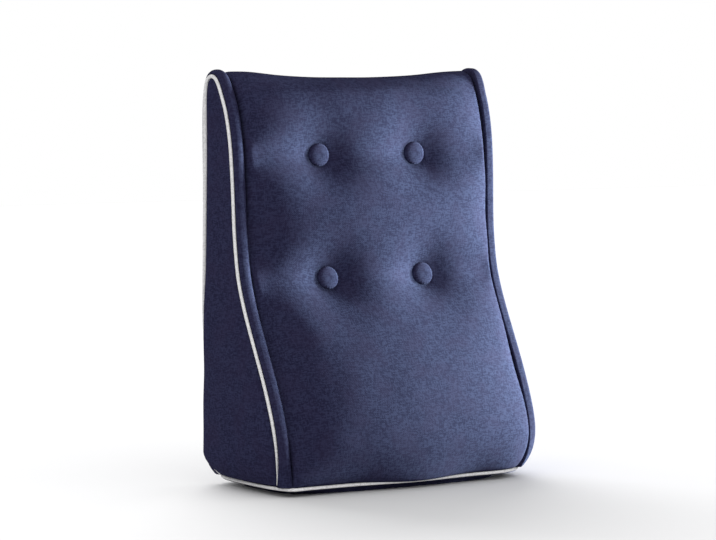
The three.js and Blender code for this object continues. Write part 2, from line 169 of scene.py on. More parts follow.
# The side seam: how far forward of the back plane it runs behind and in front, at each height.
SEAM = table(
    "height back front",
    (14, 0, 198.8), (37, 0, 198.3), (72, 0, 193.8), (112, 0, 181.8), (157, 0, 162.6), (202, 0, 139.6),
    (242, 0, 119.0), (277, 0, 103.2), (307, 0, 93.2), (337, 0, 87.6), (372, 0, 83.2), (412, 0, 80.4),
    (452, 0.1, 77.5), (487, 0.2, 73.7), (517, 0.4, 68.0), (544, 0.9, 59.7), (565, 2.3, 49.6),
    (580, 5.9, 41.0), (589.5, 12.2, 32.6),
)
# The right-hand seam lies this much further forward, in front and behind.
LEAN = table(
    "height front back",
    (14, 0, 0), (60, -4, 0), (122, -4.5, 0), (202, -2.5, 0), (352, -3, 0), (442, 0, 0), (522, 4, 0),
    (562, 8, 3), (580, 12, 9), (593, 15, 15),
)
# Behind, the side seam lies a little forward of the outline. Low down it is drawn in instead, under the
# swell of the side panel.
BACK_SEAM = table(
    "height drawn_in forward",
    (14, 4, 0), (72, 4, 0), (160, 4, 0), (210, 2, 0), (250, 0, 1), (330, 0, 2), (575, 0, 2), (593, 0, 0),
)
# Fullness of each panel: the shoulder beside its creases, the crown at its middle, and how round the left
# and the right shoulder are, from 0, steep, to 1, a long slope.
FRONT_PANEL = table(
    "height shoulder crown left_round right_round",
    (14, 20, 0, 0.3, 0.2), (60, 24, 10, 0.8, 0.3), (110, 24, 16, 1, 0.45), (160, 24, 15, 1, 0.65),
    (220, 28, 9, 1, 0.5), (301, 30, 16, 0.6, 0.4), (350, 31, 17, 1, 0.4), (390, 29, 18, 0.8, 0.45),
    (430, 31, 13, 0.6, 0.45), (480, 29, 4, 0.45, 0.45), (520, 29, 7, 0.55, 0.6), (556, 24, 6, 0.4, 0.55),
    (576, 14, 2, 0.2, 0.3), (593, 7, 0, 0, 0),
)
BACK_PANEL = table(
    "height shoulder crown left_round right_round",
    (14, 5, 3, 0, 0), (402, 5, 4, 0, 0), (522, 5, 3, 0, 0), (574, 6, 1, 0, 0), (593, 7, 0, 0, 0),
)
# Fullness of the left and the right border strip, and of the side panels.
BORDER = table(
    "height left right",
    (14, 8.4, 8.5), (46, 10.5, 9.5), (112, 10.5, 9), (202, 9, 8), (302, 9, 9), (402, 9, 9.9),
    (542, 10.5, 11.5), (593, 9.5, 10.5),
)
SIDE = table(
    "height swell",
    (14, 19), (30, 21), (50, 20), (160, 18), (242, 13.5), (282, 10.5), (332, 6), (422, 3), (593, 1),
)


@dataclass(frozen=True)
class Corner:
    """Where a side seam and a crease meet the base seam, right and forward of the back plane.

    The border draws in towards there from a height, and does so the more suddenly the higher the power.
    """

    seam: tuple[float, float]
    crease: tuple[float, float]
    height: float
    power: float


CORNERS = {
    (Face.FRONT, Side.LEFT): Corner((-217.5, 182), (-206, 203.5), 122, 2.2),
    (Face.FRONT, Side.RIGHT): Corner((209, 170), (193.5, 188.5), 122, 3.6),
    (Face.BACK, Side.LEFT): Corner((-211, 25), (-198.5, 6), 50, 2),
    (Face.BACK, Side.RIGHT): Corner((211, 25), (198.5, 6), 50, 2),
}


@dataclass(frozen=True)
class ButtonRow:
    """Row of two buttons, as far left as right of a middle, and the valley that is drawn in along it.

    The seat is how high over the seam's outline the buttons sit.
    """

    name: str
    height: float
    middle: float
    seat: float
    valley_depth: float
    valley_reach: float


BUTTON_ROWS = (ButtonRow("upper", 478, -1, 5.5, 9, 25), ButtonRow("lower", 297.5, -0.7, 10, 12, 35))
# A button below its rim: the share of its radius, and the height over its back.
BUTTON_UNDERSIDE = table("reach level", (1, 2.64), (0.985, 0.96), (0.94, 0.02), (0.8, 0), (0.02, 0))


def unit(vectors: np.ndarray) -> np.ndarray:
    """Gives the vectors at length 1."""
    return vectors / np.linalg.norm(vectors, axis=-1, keepdims=True)


def grid_normals(grid: np.ndarray) -> np.ndarray:
    """Gives each grid point's normal, the cross product of the steps along its two lines."""
    return unit(np.cross(np.gradient(grid, axis=0), np.gradient(grid, axis=1)))


def unevenness(u: np.ndarray, v: np.ndarray, wavelength: float, seed: int) -> np.ndarray:
    """Gentle unevenness of about -1 to 1: plane waves of about one length, added in seeded directions.

    Args:
        u: Places along the first direction.
        v: Places along the second direction.
        wavelength: Typical length of a wave, in the units of u and v.
        seed: Seed of the directions, lengths and phases.

    Returns:
        The height at each place.
    """
    count, shortest, longest = 9, 0.7, 1.5
    rng = np.random.default_rng(seed)
    turn, phase = rng.uniform(0, math.tau, (2, count))
    length = wavelength * rng.uniform(shortest, longest, count)
    across = u[..., None] * np.cos(turn) + v[..., None] * np.sin(turn)
    return np.sin(math.tau * across / length + phase).sum(-1) / math.sqrt(2 * count)


def arc_lengths(points: np.ndarray, axis: int = 0) -> np.ndarray:
    """Length along each line of a grid, from its first point."""
    steps = np.linalg.norm(np.diff(points, axis=axis), axis=-1)
    return np.insert(np.cumsum(steps, axis=axis), 0, 0, axis=axis)


def bell(away: np.ndarray, half_width: float) -> np.ndarray:
    """Falls from 1 in the middle to 0 at the half width, by a squared cosine."""
    return np.cos(math.pi / 2 * np.minimum(away / half_width, 1)) ** 2


def fading(places: np.ndarray, middle: float, width: float) -> np.ndarray:
    """Falls smoothly from 1 to 0 along the places, by a logistic curve about a middle."""
    return 1 / (1 + np.exp((places - middle) / width))


@dataclass(frozen=True)
class BorderFrames:
    """Axes of a border strip at each station: from the seam across to the crease, and out of the filling."""

    seam: np.ndarray
    across: np.ndarray
    out: np.ndarray
    width: np.ndarray
    lowest: float

    def points(self, across: np.ndarray, out: np.ndarray) -> np.ndarray:
        """Places points by their distances from the seam, and no lower than the base seam.

        Args:
            across: Distance towards the crease, one for each station or one row for each station.
            out: Distance out of the filling, in the same shape.

        Returns:
            The points, in the same shape with X, Y and Z last.
        """
        across, out = np.broadcast_arrays(across, out)
        extra = (slice(None),) + (None,) * (across.ndim - 1)
        placed = self.seam[extra] + across[..., None] * self.across[extra] + out[..., None] * self.out[extra]
        placed[..., 2] = np.maximum(placed[..., 2], self.lowest)
        return placed


@dataclass
class WedgeForm:
    """Seams, creases and panels of the wedge.

    A place along the outline is a share from 0 at the foot of the back, over the arch, to 1 at the foot of
    the front. A place across a panel runs from -1 at its left crease to 1 at its right one.
    """

    seam_half_width: float = 228.0
    panel_half_width: float = 210.0
    panel_middle: float = 2.5
    back_plane: float = 107.0
    base_height: float = 14.0
    arch_height: float = 593.0
    arch_forward: float = 22.2
    curl_height: float = 74.0
    crease_level: float = 1.0
    shoulder_power: float = 90.0
    swell_depth: float = 9.0
    swell_half_width: float = 120.0
    rise_start: float = 125.0
    rise_power: float = 3.5
    back_corner_power: float = 12.0
    sag_depth: float = 7.5
    sag_place: float = 5.0
    sag_reach: float = 155.0
    sag_from: float = 558.0
    button_radius: float = 17.0
    button_offset: float = 84.0
    round_reach: float = 40.0
    dimple_flat: float = 11.5
    dimple_reach: float = 41.0
    dimple_power: float = 2.0
    dimple_squat: float = 1.08
    valley_end_power: float = 12.0
    foot_rows: float = 1.2
    foot_count: int = 11
    fine_count: int = 4001
    slope_step: float = 0.004
    half_back_points: int = 5
    front_points: int = 15
    edge: CubicCurve = field(init=False)
    front: dict[str, Profile] = field(init=False)
    back: dict[str, Profile] = field(init=False)
    lean: dict[str, Profile] = field(init=False)
    behind: dict[str, Profile] = field(init=False)

    def __post_init__(self) -> None:
        """Draws the outline and the profiles through their tables."""
        back_up, front_up = (
            np.column_stack([self.back_plane - SEAM[face.value], SEAM["height"]]) for face in Face
        )
        top = [self.back_plane - self.arch_forward, self.arch_height]
        points = np.vstack([back_up, top, front_up[::-1]])
        self.edge = CubicCurve(np.arange(len(points)), points)
        self.front, self.back, self.lean, self.behind = (
            profiles(rows) for rows in (FRONT_PANEL, BACK_PANEL, LEAN, BACK_SEAM)
        )

    @property
    def steps(self) -> int:
        """Number of table rows that the outline passes, up the back and down the front."""
        return len(self.edge.knots) - 1

    def stations(self, per_row: int) -> np.ndarray:
        """Places along the outline, the same number for each table row and closer together at the feet.

        In the rows at each foot they draw together by the square of their count.

        Args:
            per_row: Places for each row of the seam's table.

        Returns:
            An odd number of places from 0 to 1.
        """
        foot = self.foot_rows * np.linspace(0, 1, self.foot_count + 1)[:-1] ** 2
        count = 2 * (self.steps * per_row // 2) + 1
        middle = np.linspace(self.foot_rows, self.steps - self.foot_rows, count)
        return np.concatenate([foot, middle, (self.steps - foot)[::-1]]) / self.steps

    def outline(self, t: np.ndarray) -> tuple[np.ndarray, np.ndarray, np.ndarray, np.ndarray]:
        """Gives the seam's outline seen from the side.

        Args:
            t: Places along the outline.

        Returns:
            Y and height of each place, the direction out of the filling, and whether it is in front.
        """
        at = np.asarray(t, float) * self.steps
        point, along = self.edge(at), unit(self.edge.slope(at))
        out = np.stack([np.zeros_like(at), along[..., 1], -along[..., 0]], axis=-1)
        return point[..., 0], point[..., 1], out, np.asarray(t) > 0.5

    def place_in_front(self, height: float) -> float:
        """Finds where the front of the outline passes a height."""
        places = np.linspace(1, 0.5, self.fine_count)
        return float(np.interp(height, self.outline(places)[1], places))

    def base_edge(self, across: np.ndarray, face: Face) -> np.ndarray:
        """Gives the base seam below a panel, as X and Y.

        The back one is straight between its corners. The front one swells forward in its middle, by a
        squared cosine, and gives way at its right-hand end, by a power of the way on to the corner.

        Args:
            across: Places across the panel.
            face: The panel.

        Returns:
            The points, with X and Y last.
        """
        left, right = (CORNERS[face, side].crease for side in Side)
        x = left[0] + (right[0] - left[0]) * (across + 1) / 2
        if face is Face.BACK:
            y = self.back_plane - left[1] * np.abs(across) ** self.back_corner_power
            return np.stack([x, y], axis=-1)
        swell = self.swell_depth * bell(np.abs(x), self.swell_half_width)
        share = np.maximum((x - self.rise_start) / (right[0] - self.rise_start), 0)
        rise = (left[1] - right[1]) * share ** self.rise_power
        return np.stack([x, self.back_plane - left[1] - swell + rise], axis=-1)

    def _drawn(self, t: np.ndarray, x: np.ndarray, end: np.ndarray) -> np.ndarray:
        """Follows the outline at x, leaning with the right-hand side, and ends at a base point.

        Above a corner's height the point follows the outline. Below it, the way to the base point is
        taken by a power of the share of the height passed.

        Args:
            t: Places along the outline.
            x: X of each place where it follows the outline.
            end: Base point of each place, as X and Y.

        Returns:
            The points, with X, Y and Z last.
        """
        y, z, _, in_front = self.outline(t)
        right_share = (x / self.seam_half_width + 1) / 2
        lean = right_share * np.where(in_front, self.lean["front"](z), self.lean["back"](z))
        foot = np.where(in_front, self.edge.points[-1, 0], self.edge.points[0, 0])
        tuck = np.where(in_front, *(self._tuck(z, right_share, face) for face in (Face.FRONT, Face.BACK)))
        return np.stack([x + (end[..., 0] - x) * tuck, y - lean + (end[..., 1] - foot) * tuck, z], axis=-1)

    def _tuck(self, z: np.ndarray, right_share: np.ndarray, face: Face) -> np.ndarray:
        """Gives how much of the way to its base point each place has gone, from 0 above the corner.

        Args:
            z: Heights.
            right_share: Shares of the way from the left-hand side to the right.
            face: Panel that the corners belong to.

        Returns:
            The shares, from 0 to 1.
        """
        left, right = (CORNERS[face, side] for side in Side)
        passed = np.clip((left.height - z) / (left.height - self.base_height), 0, 1)
        return passed ** (left.power + (right.power - left.power) * right_share)

    def side_seam(self, t: np.ndarray, side: Side) -> np.ndarray:
        """Gives the seam between a side panel and its border.

        Args:
            t: Places along the outline.
            side: Side of the cushion.

        Returns:
            The points, with X, Y and Z last.
        """
        _, z, _, in_front = self.outline(t)
        front_end, back_end = (CORNERS[face, side].seam for face in (Face.FRONT, Face.BACK))
        end = np.where(in_front[..., None], front_end, back_end) * (1, -1) + (0, self.back_plane)
        half_width = self.seam_half_width - np.where(in_front, 0, self.behind["drawn_in"](z))
        seam = self._drawn(t, side.value * half_width, end)
        seam[..., 1] -= np.where(in_front, 0, self.behind["forward"](z))
        return seam

    def panel_x(self, across: np.ndarray) -> np.ndarray:
        """Gives X for places across a panel."""
        return self.panel_middle + across * self.panel_half_width

    def button_across(self, row: ButtonRow, side: Side) -> float:
        """Gives a button's place across the front panel."""
        return (row.middle + side.value * self.button_offset - self.panel_middle) / self.panel_half_width

    def _full_lift(self, fullness: dict[str, Profile], across: np.ndarray, height: np.ndarray) -> np.ndarray:
        """Gives a panel's height over the outline before its buttons are sewn in.

        It is the shoulder and the crown, a parabola, less a sag at the middle of the top. A steep shoulder
        is the root of 1 less a high power of the place across, and a round one comes up from its crease by
        an exponential. The left-hand shoulder gives way to the right-hand one by a smooth step across.

        Args:
            fullness: The panel's profiles by height.
            across: Places across the panel.
            height: Heights of the places.

        Returns:
            The heights over the outline.
        """
        steep = np.sqrt(1 - np.abs(across) ** self.shoulder_power)
        shoulders = []
        for side in Side:
            inward = self.panel_half_width * (1 - side.value * across)
            share = fullness[f"{side.word}_round"](height)
            shoulders.append(steep + share * (1 - np.exp(-inward / self.round_reach) - steep))
        right_share = (across + 1) ** 2 * (2 - across) / 4
        shoulder = shoulders[0] + (shoulders[1] - shoulders[0]) * right_share
        shoulder = fullness["shoulder"](height) * shoulder
        crown = fullness["crown"](height) * (1 - across * across)
        high = np.clip((height - self.sag_from) / (self.arch_height - self.sag_from), 0, 1)
        place = np.abs(self.panel_x(across) - self.sag_place) / self.sag_reach
        return self.crease_level + shoulder + crown - self.sag_depth * high**2 * np.exp(-(place**3))

    def _sewn_in(self, across: np.ndarray, height: np.ndarray) -> np.ndarray:
        """Gives how far the buttons draw the front panel in.

        There is a valley along each row, a bell across it, and a dimple round each button, 1 over 1 more than
        a power of the distance.

        Args:
            across: Places across the panel.
            height: Heights of the places.

        Returns:
            The distances.
        """
        x = self.panel_x(across)
        along = 1 - across**self.valley_end_power
        drawn = np.zeros(np.broadcast(across, height).shape)
        for row in BUTTON_ROWS:
            up = height - row.height
            drawn += row.valley_depth * along * np.exp(-((up / row.valley_reach) ** 2))
            for side in Side:
                place = np.array(self.button_across(row, side))
                full = self._full_lift(self.front, place, np.array(row.height))
                away = np.hypot(x - self.panel_x(place), up * self.dimple_squat)
                beyond = np.maximum(away - self.dimple_flat, 0) / self.dimple_reach
                drawn += (full - row.valley_depth - row.seat) / (1 + beyond**self.dimple_power)
        return drawn

    def panel(self, t: np.ndarray, across: np.ndarray, lift: float | None = None) -> np.ndarray:
        """Gives points on the panels.

        Near the base seam the panel curls under: its height over the outline falls to nothing along a
        quarter of an ellipse.

        Args:
            t: Places along the outline.
            across: Places across the panel.
            lift: One height over the outline for all the points, in place of the panel's own.

        Returns:
            The points, with X, Y and Z last.
        """
        t, across = np.broadcast_arrays(np.asarray(t, float), np.asarray(across, float))
        _, z, out, in_front = self.outline(t)
        if lift is None:
            front = self._full_lift(self.front, across, z) - self._sewn_in(across, z)
            lift = np.where(in_front, front, self._full_lift(self.back, across, z))
        ends = (self.base_edge(across, face) for face in (Face.FRONT, Face.BACK))
        raised = (lift * self.curl(z))[..., None] * out
        return self._drawn(t, self.panel_x(across), np.where(in_front[..., None], *ends)) + raised

    def curl(self, z: np.ndarray) -> np.ndarray:
        """Gives how far a panel has come out of the base seam, as a share, along a quarter of an ellipse."""
        low = np.clip((self.curl_height - z) / (self.curl_height - self.base_height), 0, 1)
        return np.sqrt(1 - low * low)

    def border_frames(self, t: np.ndarray, side: Side) -> BorderFrames:
        """Gives the axes of a border strip at the stations.

        Args:
            t: Stations along the outline.
            side: Side of the cushion.

        Returns:
            The axes at each station.
        """
        seam = self.side_seam(t, side)
        across = self.panel(t, np.full_like(t, side.value), self.crease_level) - seam
        steps = (np.clip(t + way * self.slope_step, 0, 1) for way in (1, -1))
        ahead, behind = (self.side_seam(step, side) for step in steps)
        out = -side.value * unit(np.cross(unit(ahead - behind), unit(across)))
        return BorderFrames(seam, unit(across), out, np.linalg.norm(across, axis=-1), self.base_height)

    def base_loop(self, count: int) -> np.ndarray:
        """Gives the base seam once round, as X and Y, from the middle of the back to its right and on.

        Args:
            count: Number of points, evenly spaced.

        Returns:
            The points, the last one a step short of the first.
        """
        corner = {key: (c.seam[0], self.back_plane - c.seam[1]) for key, c in CORNERS.items()}
        half_back = np.linspace(0, 1, self.half_back_points)
        loop = np.vstack([
            self.base_edge(half_back, Face.BACK),
            corner[Face.BACK, Side.RIGHT],
            corner[Face.FRONT, Side.RIGHT],
            self.base_edge(np.linspace(1, -1, self.front_points), Face.FRONT),
            corner[Face.FRONT, Side.LEFT],
            corner[Face.BACK, Side.LEFT],
            self.base_edge(half_back[:-1] - 1, Face.BACK),
        ])
        wrap = 3
        points = np.vstack([loop[-wrap:], loop, loop[: wrap + 1]])
        knots = np.insert(np.cumsum(np.linalg.norm(np.diff(points, axis=0), axis=1) ** 0.5), 0, 0)
        curve = CubicCurve(knots, points, to_nearer=True)
        fine = curve(np.linspace(knots[wrap], knots[wrap + len(loop)], self.fine_count))
        length = arc_lengths(fine)
        places = np.linspace(0, length[-1], count + 1)[:-1]
        return np.column_stack([np.interp(places, length, fine[:, axis]) for axis in range(2)])


def cap_faces(count: int, cap: Cap) -> list[list[int]]:
    """Lists the faces across one ring.

    Args:
        count: Points in the ring.
        cap: How it is closed: one face, or rungs that pair its points from both ends towards its middle.

    Returns:
        The faces, as places in the ring.
    """
    if cap is Cap.FLAT:
        return [list(range(count))]
    low = np.arange((count - 1) // 2)
    high = count - 1 - low
    rungs = np.column_stack([low, low + 1, high - 1, high]).tolist()
    if count % 2:
        rungs[-1] = rungs[-1][:2] + rungs[-1][3:]
    return rungs


def ring_mesh(
    name: str, rings: np.ndarray, cloth: np.ndarray, start: Cap = Cap.FLAT, end: Cap = Cap.FLAT
) -> bpy.types.Object:
    """Makes a closed mesh through rings of equal length, with its faces outwards.

    Args:
        name: Name of the object.
        rings: Points in millimetres, one row for each ring.
        cloth: Place on the flat cloth in millimetres, one row for each ring and one column more than it has
            points, so that the cloth's two edges meet at the seam of the rings.
        start: How the first ring is closed.
        end: How the last ring is closed.

    Returns:
        The object, smooth and linked to the scene, with the cloth's places in metres as its UV map.
    """
    count, size = rings.shape[:2]
    ring, place = np.meshgrid(np.arange(count - 1), np.arange(size), indexing="ij")
    after = (place + 1) % size
    sides = np.stack([ring * size + place, ring * size + after], axis=-1)
    sides = np.concatenate([sides, sides[..., ::-1] + size], axis=-1).reshape(-1, 4)
    spots = np.stack([cloth[:-1, :-1], cloth[:-1, 1:], cloth[1:, 1:], cloth[1:, :-1]], axis=2).reshape(-1, 2)
    faces, corners = sides.tolist(), [spots]
    last = (count - 1) * size
    for first, cap, flip in ((0, start, True), (last, end, False)):
        for face in cap_faces(size, cap):
            face = face[::-1] if flip else face
            faces.append([first + index for index in face])
            corners.append(cloth[first // size, face])
    points = rings.reshape(-1, 3) * MM
    mesh = bpy.data.meshes.new(name)
    mesh.from_pydata(points, [], faces)
    quads = points[sides]
    middle = quads.mean(axis=1)
    twice_area = np.cross(quads[:, 2] - quads[:, 0], quads[:, 3] - quads[:, 1])
    inside_out = np.einsum("ij,ij->", middle - points.mean(axis=0), twice_area) < 0
    layer = mesh.uv_layers.new(name="cloth")
    layer.data.foreach_set("uv", (np.concatenate(corners) * MM).astype(np.float32).ravel())
    if inside_out:
        mesh.flip_normals()
    mesh.polygons.foreach_set("use_smooth", np.ones(len(mesh.polygons), bool))
    mesh.validate()
    piece = bpy.data.objects.new(name, mesh)
    bpy.context.scene.collection.objects.link(piece)
    return piece


def cloth_places(u: np.ndarray, v: np.ndarray) -> np.ndarray:
    """Puts places across and along the cloth together as pairs."""
    return np.stack(np.broadcast_arrays(u, v), axis=-1)


def laid_flat(flat: np.ndarray, closing: int) -> np.ndarray:
    """Gives rings' places on flat cloth, as they are, with one point of each ring again at its end."""
    return np.concatenate([flat, flat[:, [closing]]], axis=1)


class NodeSheet:
    """Material with its shader, and short calls that add nodes to it."""

    def __init__(self, name: str) -> None:
        """Starts a material with an output and a principled shader.

        Args:
            name: Name of the material.
        """
        self.material = bpy.data.materials.new(name)
        self.material.use_nodes = True
        self.tree = self.material.node_tree
        self.shader = self.tree.nodes["Principled BSDF"]

    def add(self, kind: str, settings: dict | None = None, **inputs: object) -> bpy.types.Node:
        """Adds a node.

        Args:
            kind: The node's type, without its ShaderNode prefix.
            settings: Attributes of the node.
            **inputs: Values or sockets for its inputs, by name in lower case with underscores, or by
                number after the letter i.

        Returns:
            The node.
        """
        node = self.tree.nodes.new("ShaderNode" + kind)
        for key, value in (settings or {}).items():
            setattr(node, key, value)
        named = {socket.name.lower().replace(" ", "_"): socket for socket in reversed(node.inputs)}
        for key, value in inputs.items():
            socket = node.inputs[int(key[1:])] if key[0] == "i" and key[1:].isdigit() else named[key]
            self.connect(value, socket)
        return node

    def connect(self, value: object, socket: bpy.types.NodeSocket) -> None:
        """Links a socket to an input, or sets the input to a value.

        Args:
            value: Socket or plain value.
            socket: Input that takes it.
        """
        if isinstance(value, bpy.types.NodeSocket):
            self.tree.links.new(value, socket)
        else:
            socket.default_value = value

    def maths(self, operation: str, *values: object) -> bpy.types.NodeSocket:
        """Adds a sum on one or more values and gives its result."""
        inputs = {f"i{index}": value for index, value in enumerate(values)}
        return self.add("Math", {"operation": operation}, **inputs).outputs[0]

    def noise(
        self, place: object, scale: tuple[float, float], detail: float = 1.0, rough: float = 0.5
    ) -> bpy.types.NodeSocket:
        """Adds noise on stretched places of the cloth and gives its value.

        Args:
            place: Socket of the places.
            scale: Stretch of the places, each way.
            detail: Octaves of the noise.
            rough: Roughness of the noise.

        Returns:
            Socket of the noise's value.
        """
        stretched = self.add("Mapping", vector=place, scale=(*scale, 1.0)).outputs[0]
        settings = {"noise_dimensions": "2D"}
        inputs = {"vector": stretched, "scale": 1.0, "detail": detail, "roughness": rough}
        return self.add("TexNoise", settings, **inputs).outputs[0]

    def ramp(self, value: object, low: float, high: float) -> bpy.types.NodeSocket:
        """Spreads a value smoothly from a low and a high mark to 0 and 1."""
        settings = {"interpolation_type": "SMOOTHSTEP"}
        return self.add("MapRange", settings, value=value, from_min=low, from_max=high).outputs[0]

    def blend(self, share: object, first: object, second: object) -> bpy.types.NodeSocket:
        """Blends two colours."""
        return self.add("Mix", {"data_type": "RGBA"}, i0=share, i6=first, i7=second).outputs[2]

    def finish(self, colour: object, relief: object, roughness: float, specular: float) -> bpy.types.Material:
        """Gives the shader its colour, its relief and its gloss.

        Args:
            colour: Socket of the colour.
            relief: Socket of the normal, or none.
            roughness: Roughness of the whole surface.
            specular: Specular level of the whole surface.

        Returns:
            The finished material.
        """
        inputs = self.shader.inputs
        self.connect(colour, inputs["Base Color"])
        if relief is not None:
            self.connect(relief, inputs["Normal"])
        inputs["Roughness"].default_value = roughness
        inputs["Specular IOR Level"].default_value = specular
        return self.material


def opaque(colour: Colour) -> tuple[float, float, float, float]:
    """Gives a colour with full alpha."""
    return (*colour, 1.0)


@dataclass(frozen=True)
class MelangeCloth:
    """Navy cloth woven from two blues, each thread changing its tone along its length."""

    name: str = "navy_melange_cloth"
    ground: Colour = (0.0140, 0.0137, 0.0365)
    light_thread: Colour = (0.0258, 0.0275, 0.0640)
    warm_cast: Colour = (0.0235, 0.0190, 0.0470)
    pitch: float = 0.0014
    streak: float = 0.0085
    line_step: float = 3.7
    grain: float = 0.0024
    weft_share: float = 0.42
    warp_share: float = 0.33
    grain_share: float = 0.25
    thread_marks: tuple[float, float] = (0.4, 0.6)
    cast_scale: float = 24.0
    cast_marks: tuple[float, float] = (0.35, 0.75)
    cast_share: float = 0.35
    weave_share: float = 0.22
    bump: float = 0.00025
    bump_strength: float = 0.6
    roughness: float = 0.95
    specular: float = 0.02

    def make(self) -> bpy.types.Material:
        """Builds the material: thread tones as noise along each thread, and the weave as a fine bump.

        Returns:
            The finished material.
        """
        sheet = NodeSheet(self.name)
        place = sheet.add("UVMap", {"uv_map": "cloth"}).outputs[0]
        axes = sheet.add("SeparateXYZ", vector=place)
        weft = self._thread(sheet, axes.outputs[0], axes.outputs[1])
        warp = self._thread(sheet, axes.outputs[1], axes.outputs[0])
        grain = sheet.noise(place, (1 / self.grain, 1 / self.grain))
        warp_part = sheet.maths("MULTIPLY", warp, self.warp_share)
        threads = sheet.maths("MULTIPLY_ADD", weft, self.weft_share, warp_part)
        threads = sheet.maths("MULTIPLY_ADD", grain, self.grain_share, threads)
        share = sheet.ramp(threads, *self.thread_marks)
        woven = sheet.blend(share, opaque(self.ground), opaque(self.light_thread))
        blotches = sheet.noise(place, (self.cast_scale, self.cast_scale), detail=2.0)
        cast = sheet.maths("MULTIPLY", sheet.ramp(blotches, *self.cast_marks), self.cast_share)
        tinted = sheet.blend(cast, woven, opaque(self.warm_cast))
        return sheet.finish(tinted, self._relief(sheet, axes, threads), self.roughness, self.specular)

    def _thread(self, sheet: NodeSheet, along: object, over: object) -> bpy.types.NodeSocket:
        """Adds the tone of the threads that run one way: each has its own line through the noise.

        Args:
            sheet: The material.
            along: Socket of the place along the threads.
            over: Socket of the place across them.

        Returns:
            Socket of the tone.
        """
        thread = sheet.maths("FLOOR", sheet.maths("DIVIDE", over, self.pitch))
        place = sheet.maths("DIVIDE", along, self.streak)
        line = sheet.add("CombineXYZ", x=place, y=sheet.maths("MULTIPLY", thread, self.line_step))
        return sheet.noise(line.outputs[0], (1.0, 1.0))

    def _relief(self, sheet: NodeSheet, axes: bpy.types.Node, threads: object) -> bpy.types.NodeSocket:
        """Adds the plain weave, the product of two sines, and the thicker threads as a bump.

        Args:
            sheet: The material.
            axes: Node that gives the place along each axis.
            threads: Socket of the threads' tone.

        Returns:
            Socket of the normal.
        """
        turns = [sheet.maths("MULTIPLY", axis, math.pi / self.pitch) for axis in axes.outputs[:2]]
        weave = sheet.maths("MULTIPLY", *(sheet.maths("SINE", turn) for turn in turns))
        height = sheet.maths("MULTIPLY_ADD", weave, self.weave_share, threads)
        return sheet.add("Bump", strength=self.bump_strength, distance=self.bump, height=height).outputs[0]


@dataclass(frozen=True)
class PipingCloth:
    """Off-white cloth cut on the bias round a cord."""

    name: str = "offwhite_piping_cloth"
    light: Colour = (0.74, 0.735, 0.74)
    shaded: Colour = (0.58, 0.575, 0.58)
    pitch: float = 0.0009
    soil_scale: float = 260.0
    weave_share: float = 0.12
    tone_marks: tuple[float, float] = (0.3, 0.6)
    bump: float = 0.0002
    bump_strength: float = 0.6
    roughness: float = 0.88
    specular: float = 0.25

    def make(self) -> bpy.types.Material:
        """Builds the material: bias threads as slanting waves, and a little unevenness of tone.

        Returns:
            The finished material.
        """
        sheet = NodeSheet(self.name)
        place = sheet.add("UVMap", {"uv_map": "cloth"}).outputs[0]
        axes = sheet.add("SeparateXYZ", vector=place)
        slants = [sheet.maths(way, axes.outputs[0], axes.outputs[1]) for way in ("ADD", "SUBTRACT")]
        waves = [sheet.maths("SINE", sheet.maths("MULTIPLY", s, math.tau / self.pitch)) for s in slants]
        weave = sheet.maths("MULTIPLY", *waves)
        soil = sheet.noise(place, (self.soil_scale, self.soil_scale), detail=3.0, rough=0.6)
        tone = sheet.ramp(sheet.maths("MULTIPLY_ADD", weave, self.weave_share, soil), *self.tone_marks)
        colour = sheet.blend(tone, opaque(self.shaded), opaque(self.light))
        relief = sheet.add("Bump", strength=self.bump_strength, distance=self.bump, height=weave).outputs[0]
        return sheet.finish(colour, relief, self.roughness, self.specular)


@dataclass(frozen=True)
class PaleFloor:
    """Matt pale floor."""

    name: str = "pale_floor"
    colour: Colour = (0.695, 0.695, 0.7)
    darkest: float = 0.98
    tone_scale: float = 1.5
    roughness: float = 0.9
    specular: float = 0.1

    def make(self) -> bpy.types.Material:
        """Builds the material, with a trace of tone in it.

        Returns:
            The finished material.
        """
        sheet = NodeSheet(self.name)
        place = sheet.add("TexCoord").outputs["Object"]
        tone = sheet.noise(place, (self.tone_scale, self.tone_scale), detail=2.0)
        darker = opaque(tuple(self.darkest * channel for channel in self.colour))
        colour = sheet.blend(tone, opaque(self.colour), darker)
        return sheet.finish(colour, None, self.roughness, self.specular)


@dataclass(frozen=True)
class Finishes:
    """Materials of the cushion, made once."""

    cloth: bpy.types.Material
    piping: bpy.types.Material


def dress(piece: bpy.types.Object, material: bpy.types.Material, node: str) -> bpy.types.Object:
    """Gives a piece its finish and lets it stand for a node of the frame.

    Args:
        piece: The new piece.
        material: Its finish.
        node: The node that it replaces.

    Returns:
        The piece.
    """
    piece.data.materials.append(material)
    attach(piece, "root")
    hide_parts(node)
    LOG.info("%s stands for %s with %d faces", piece.name, node, len(piece.data.polygons))
    return piece


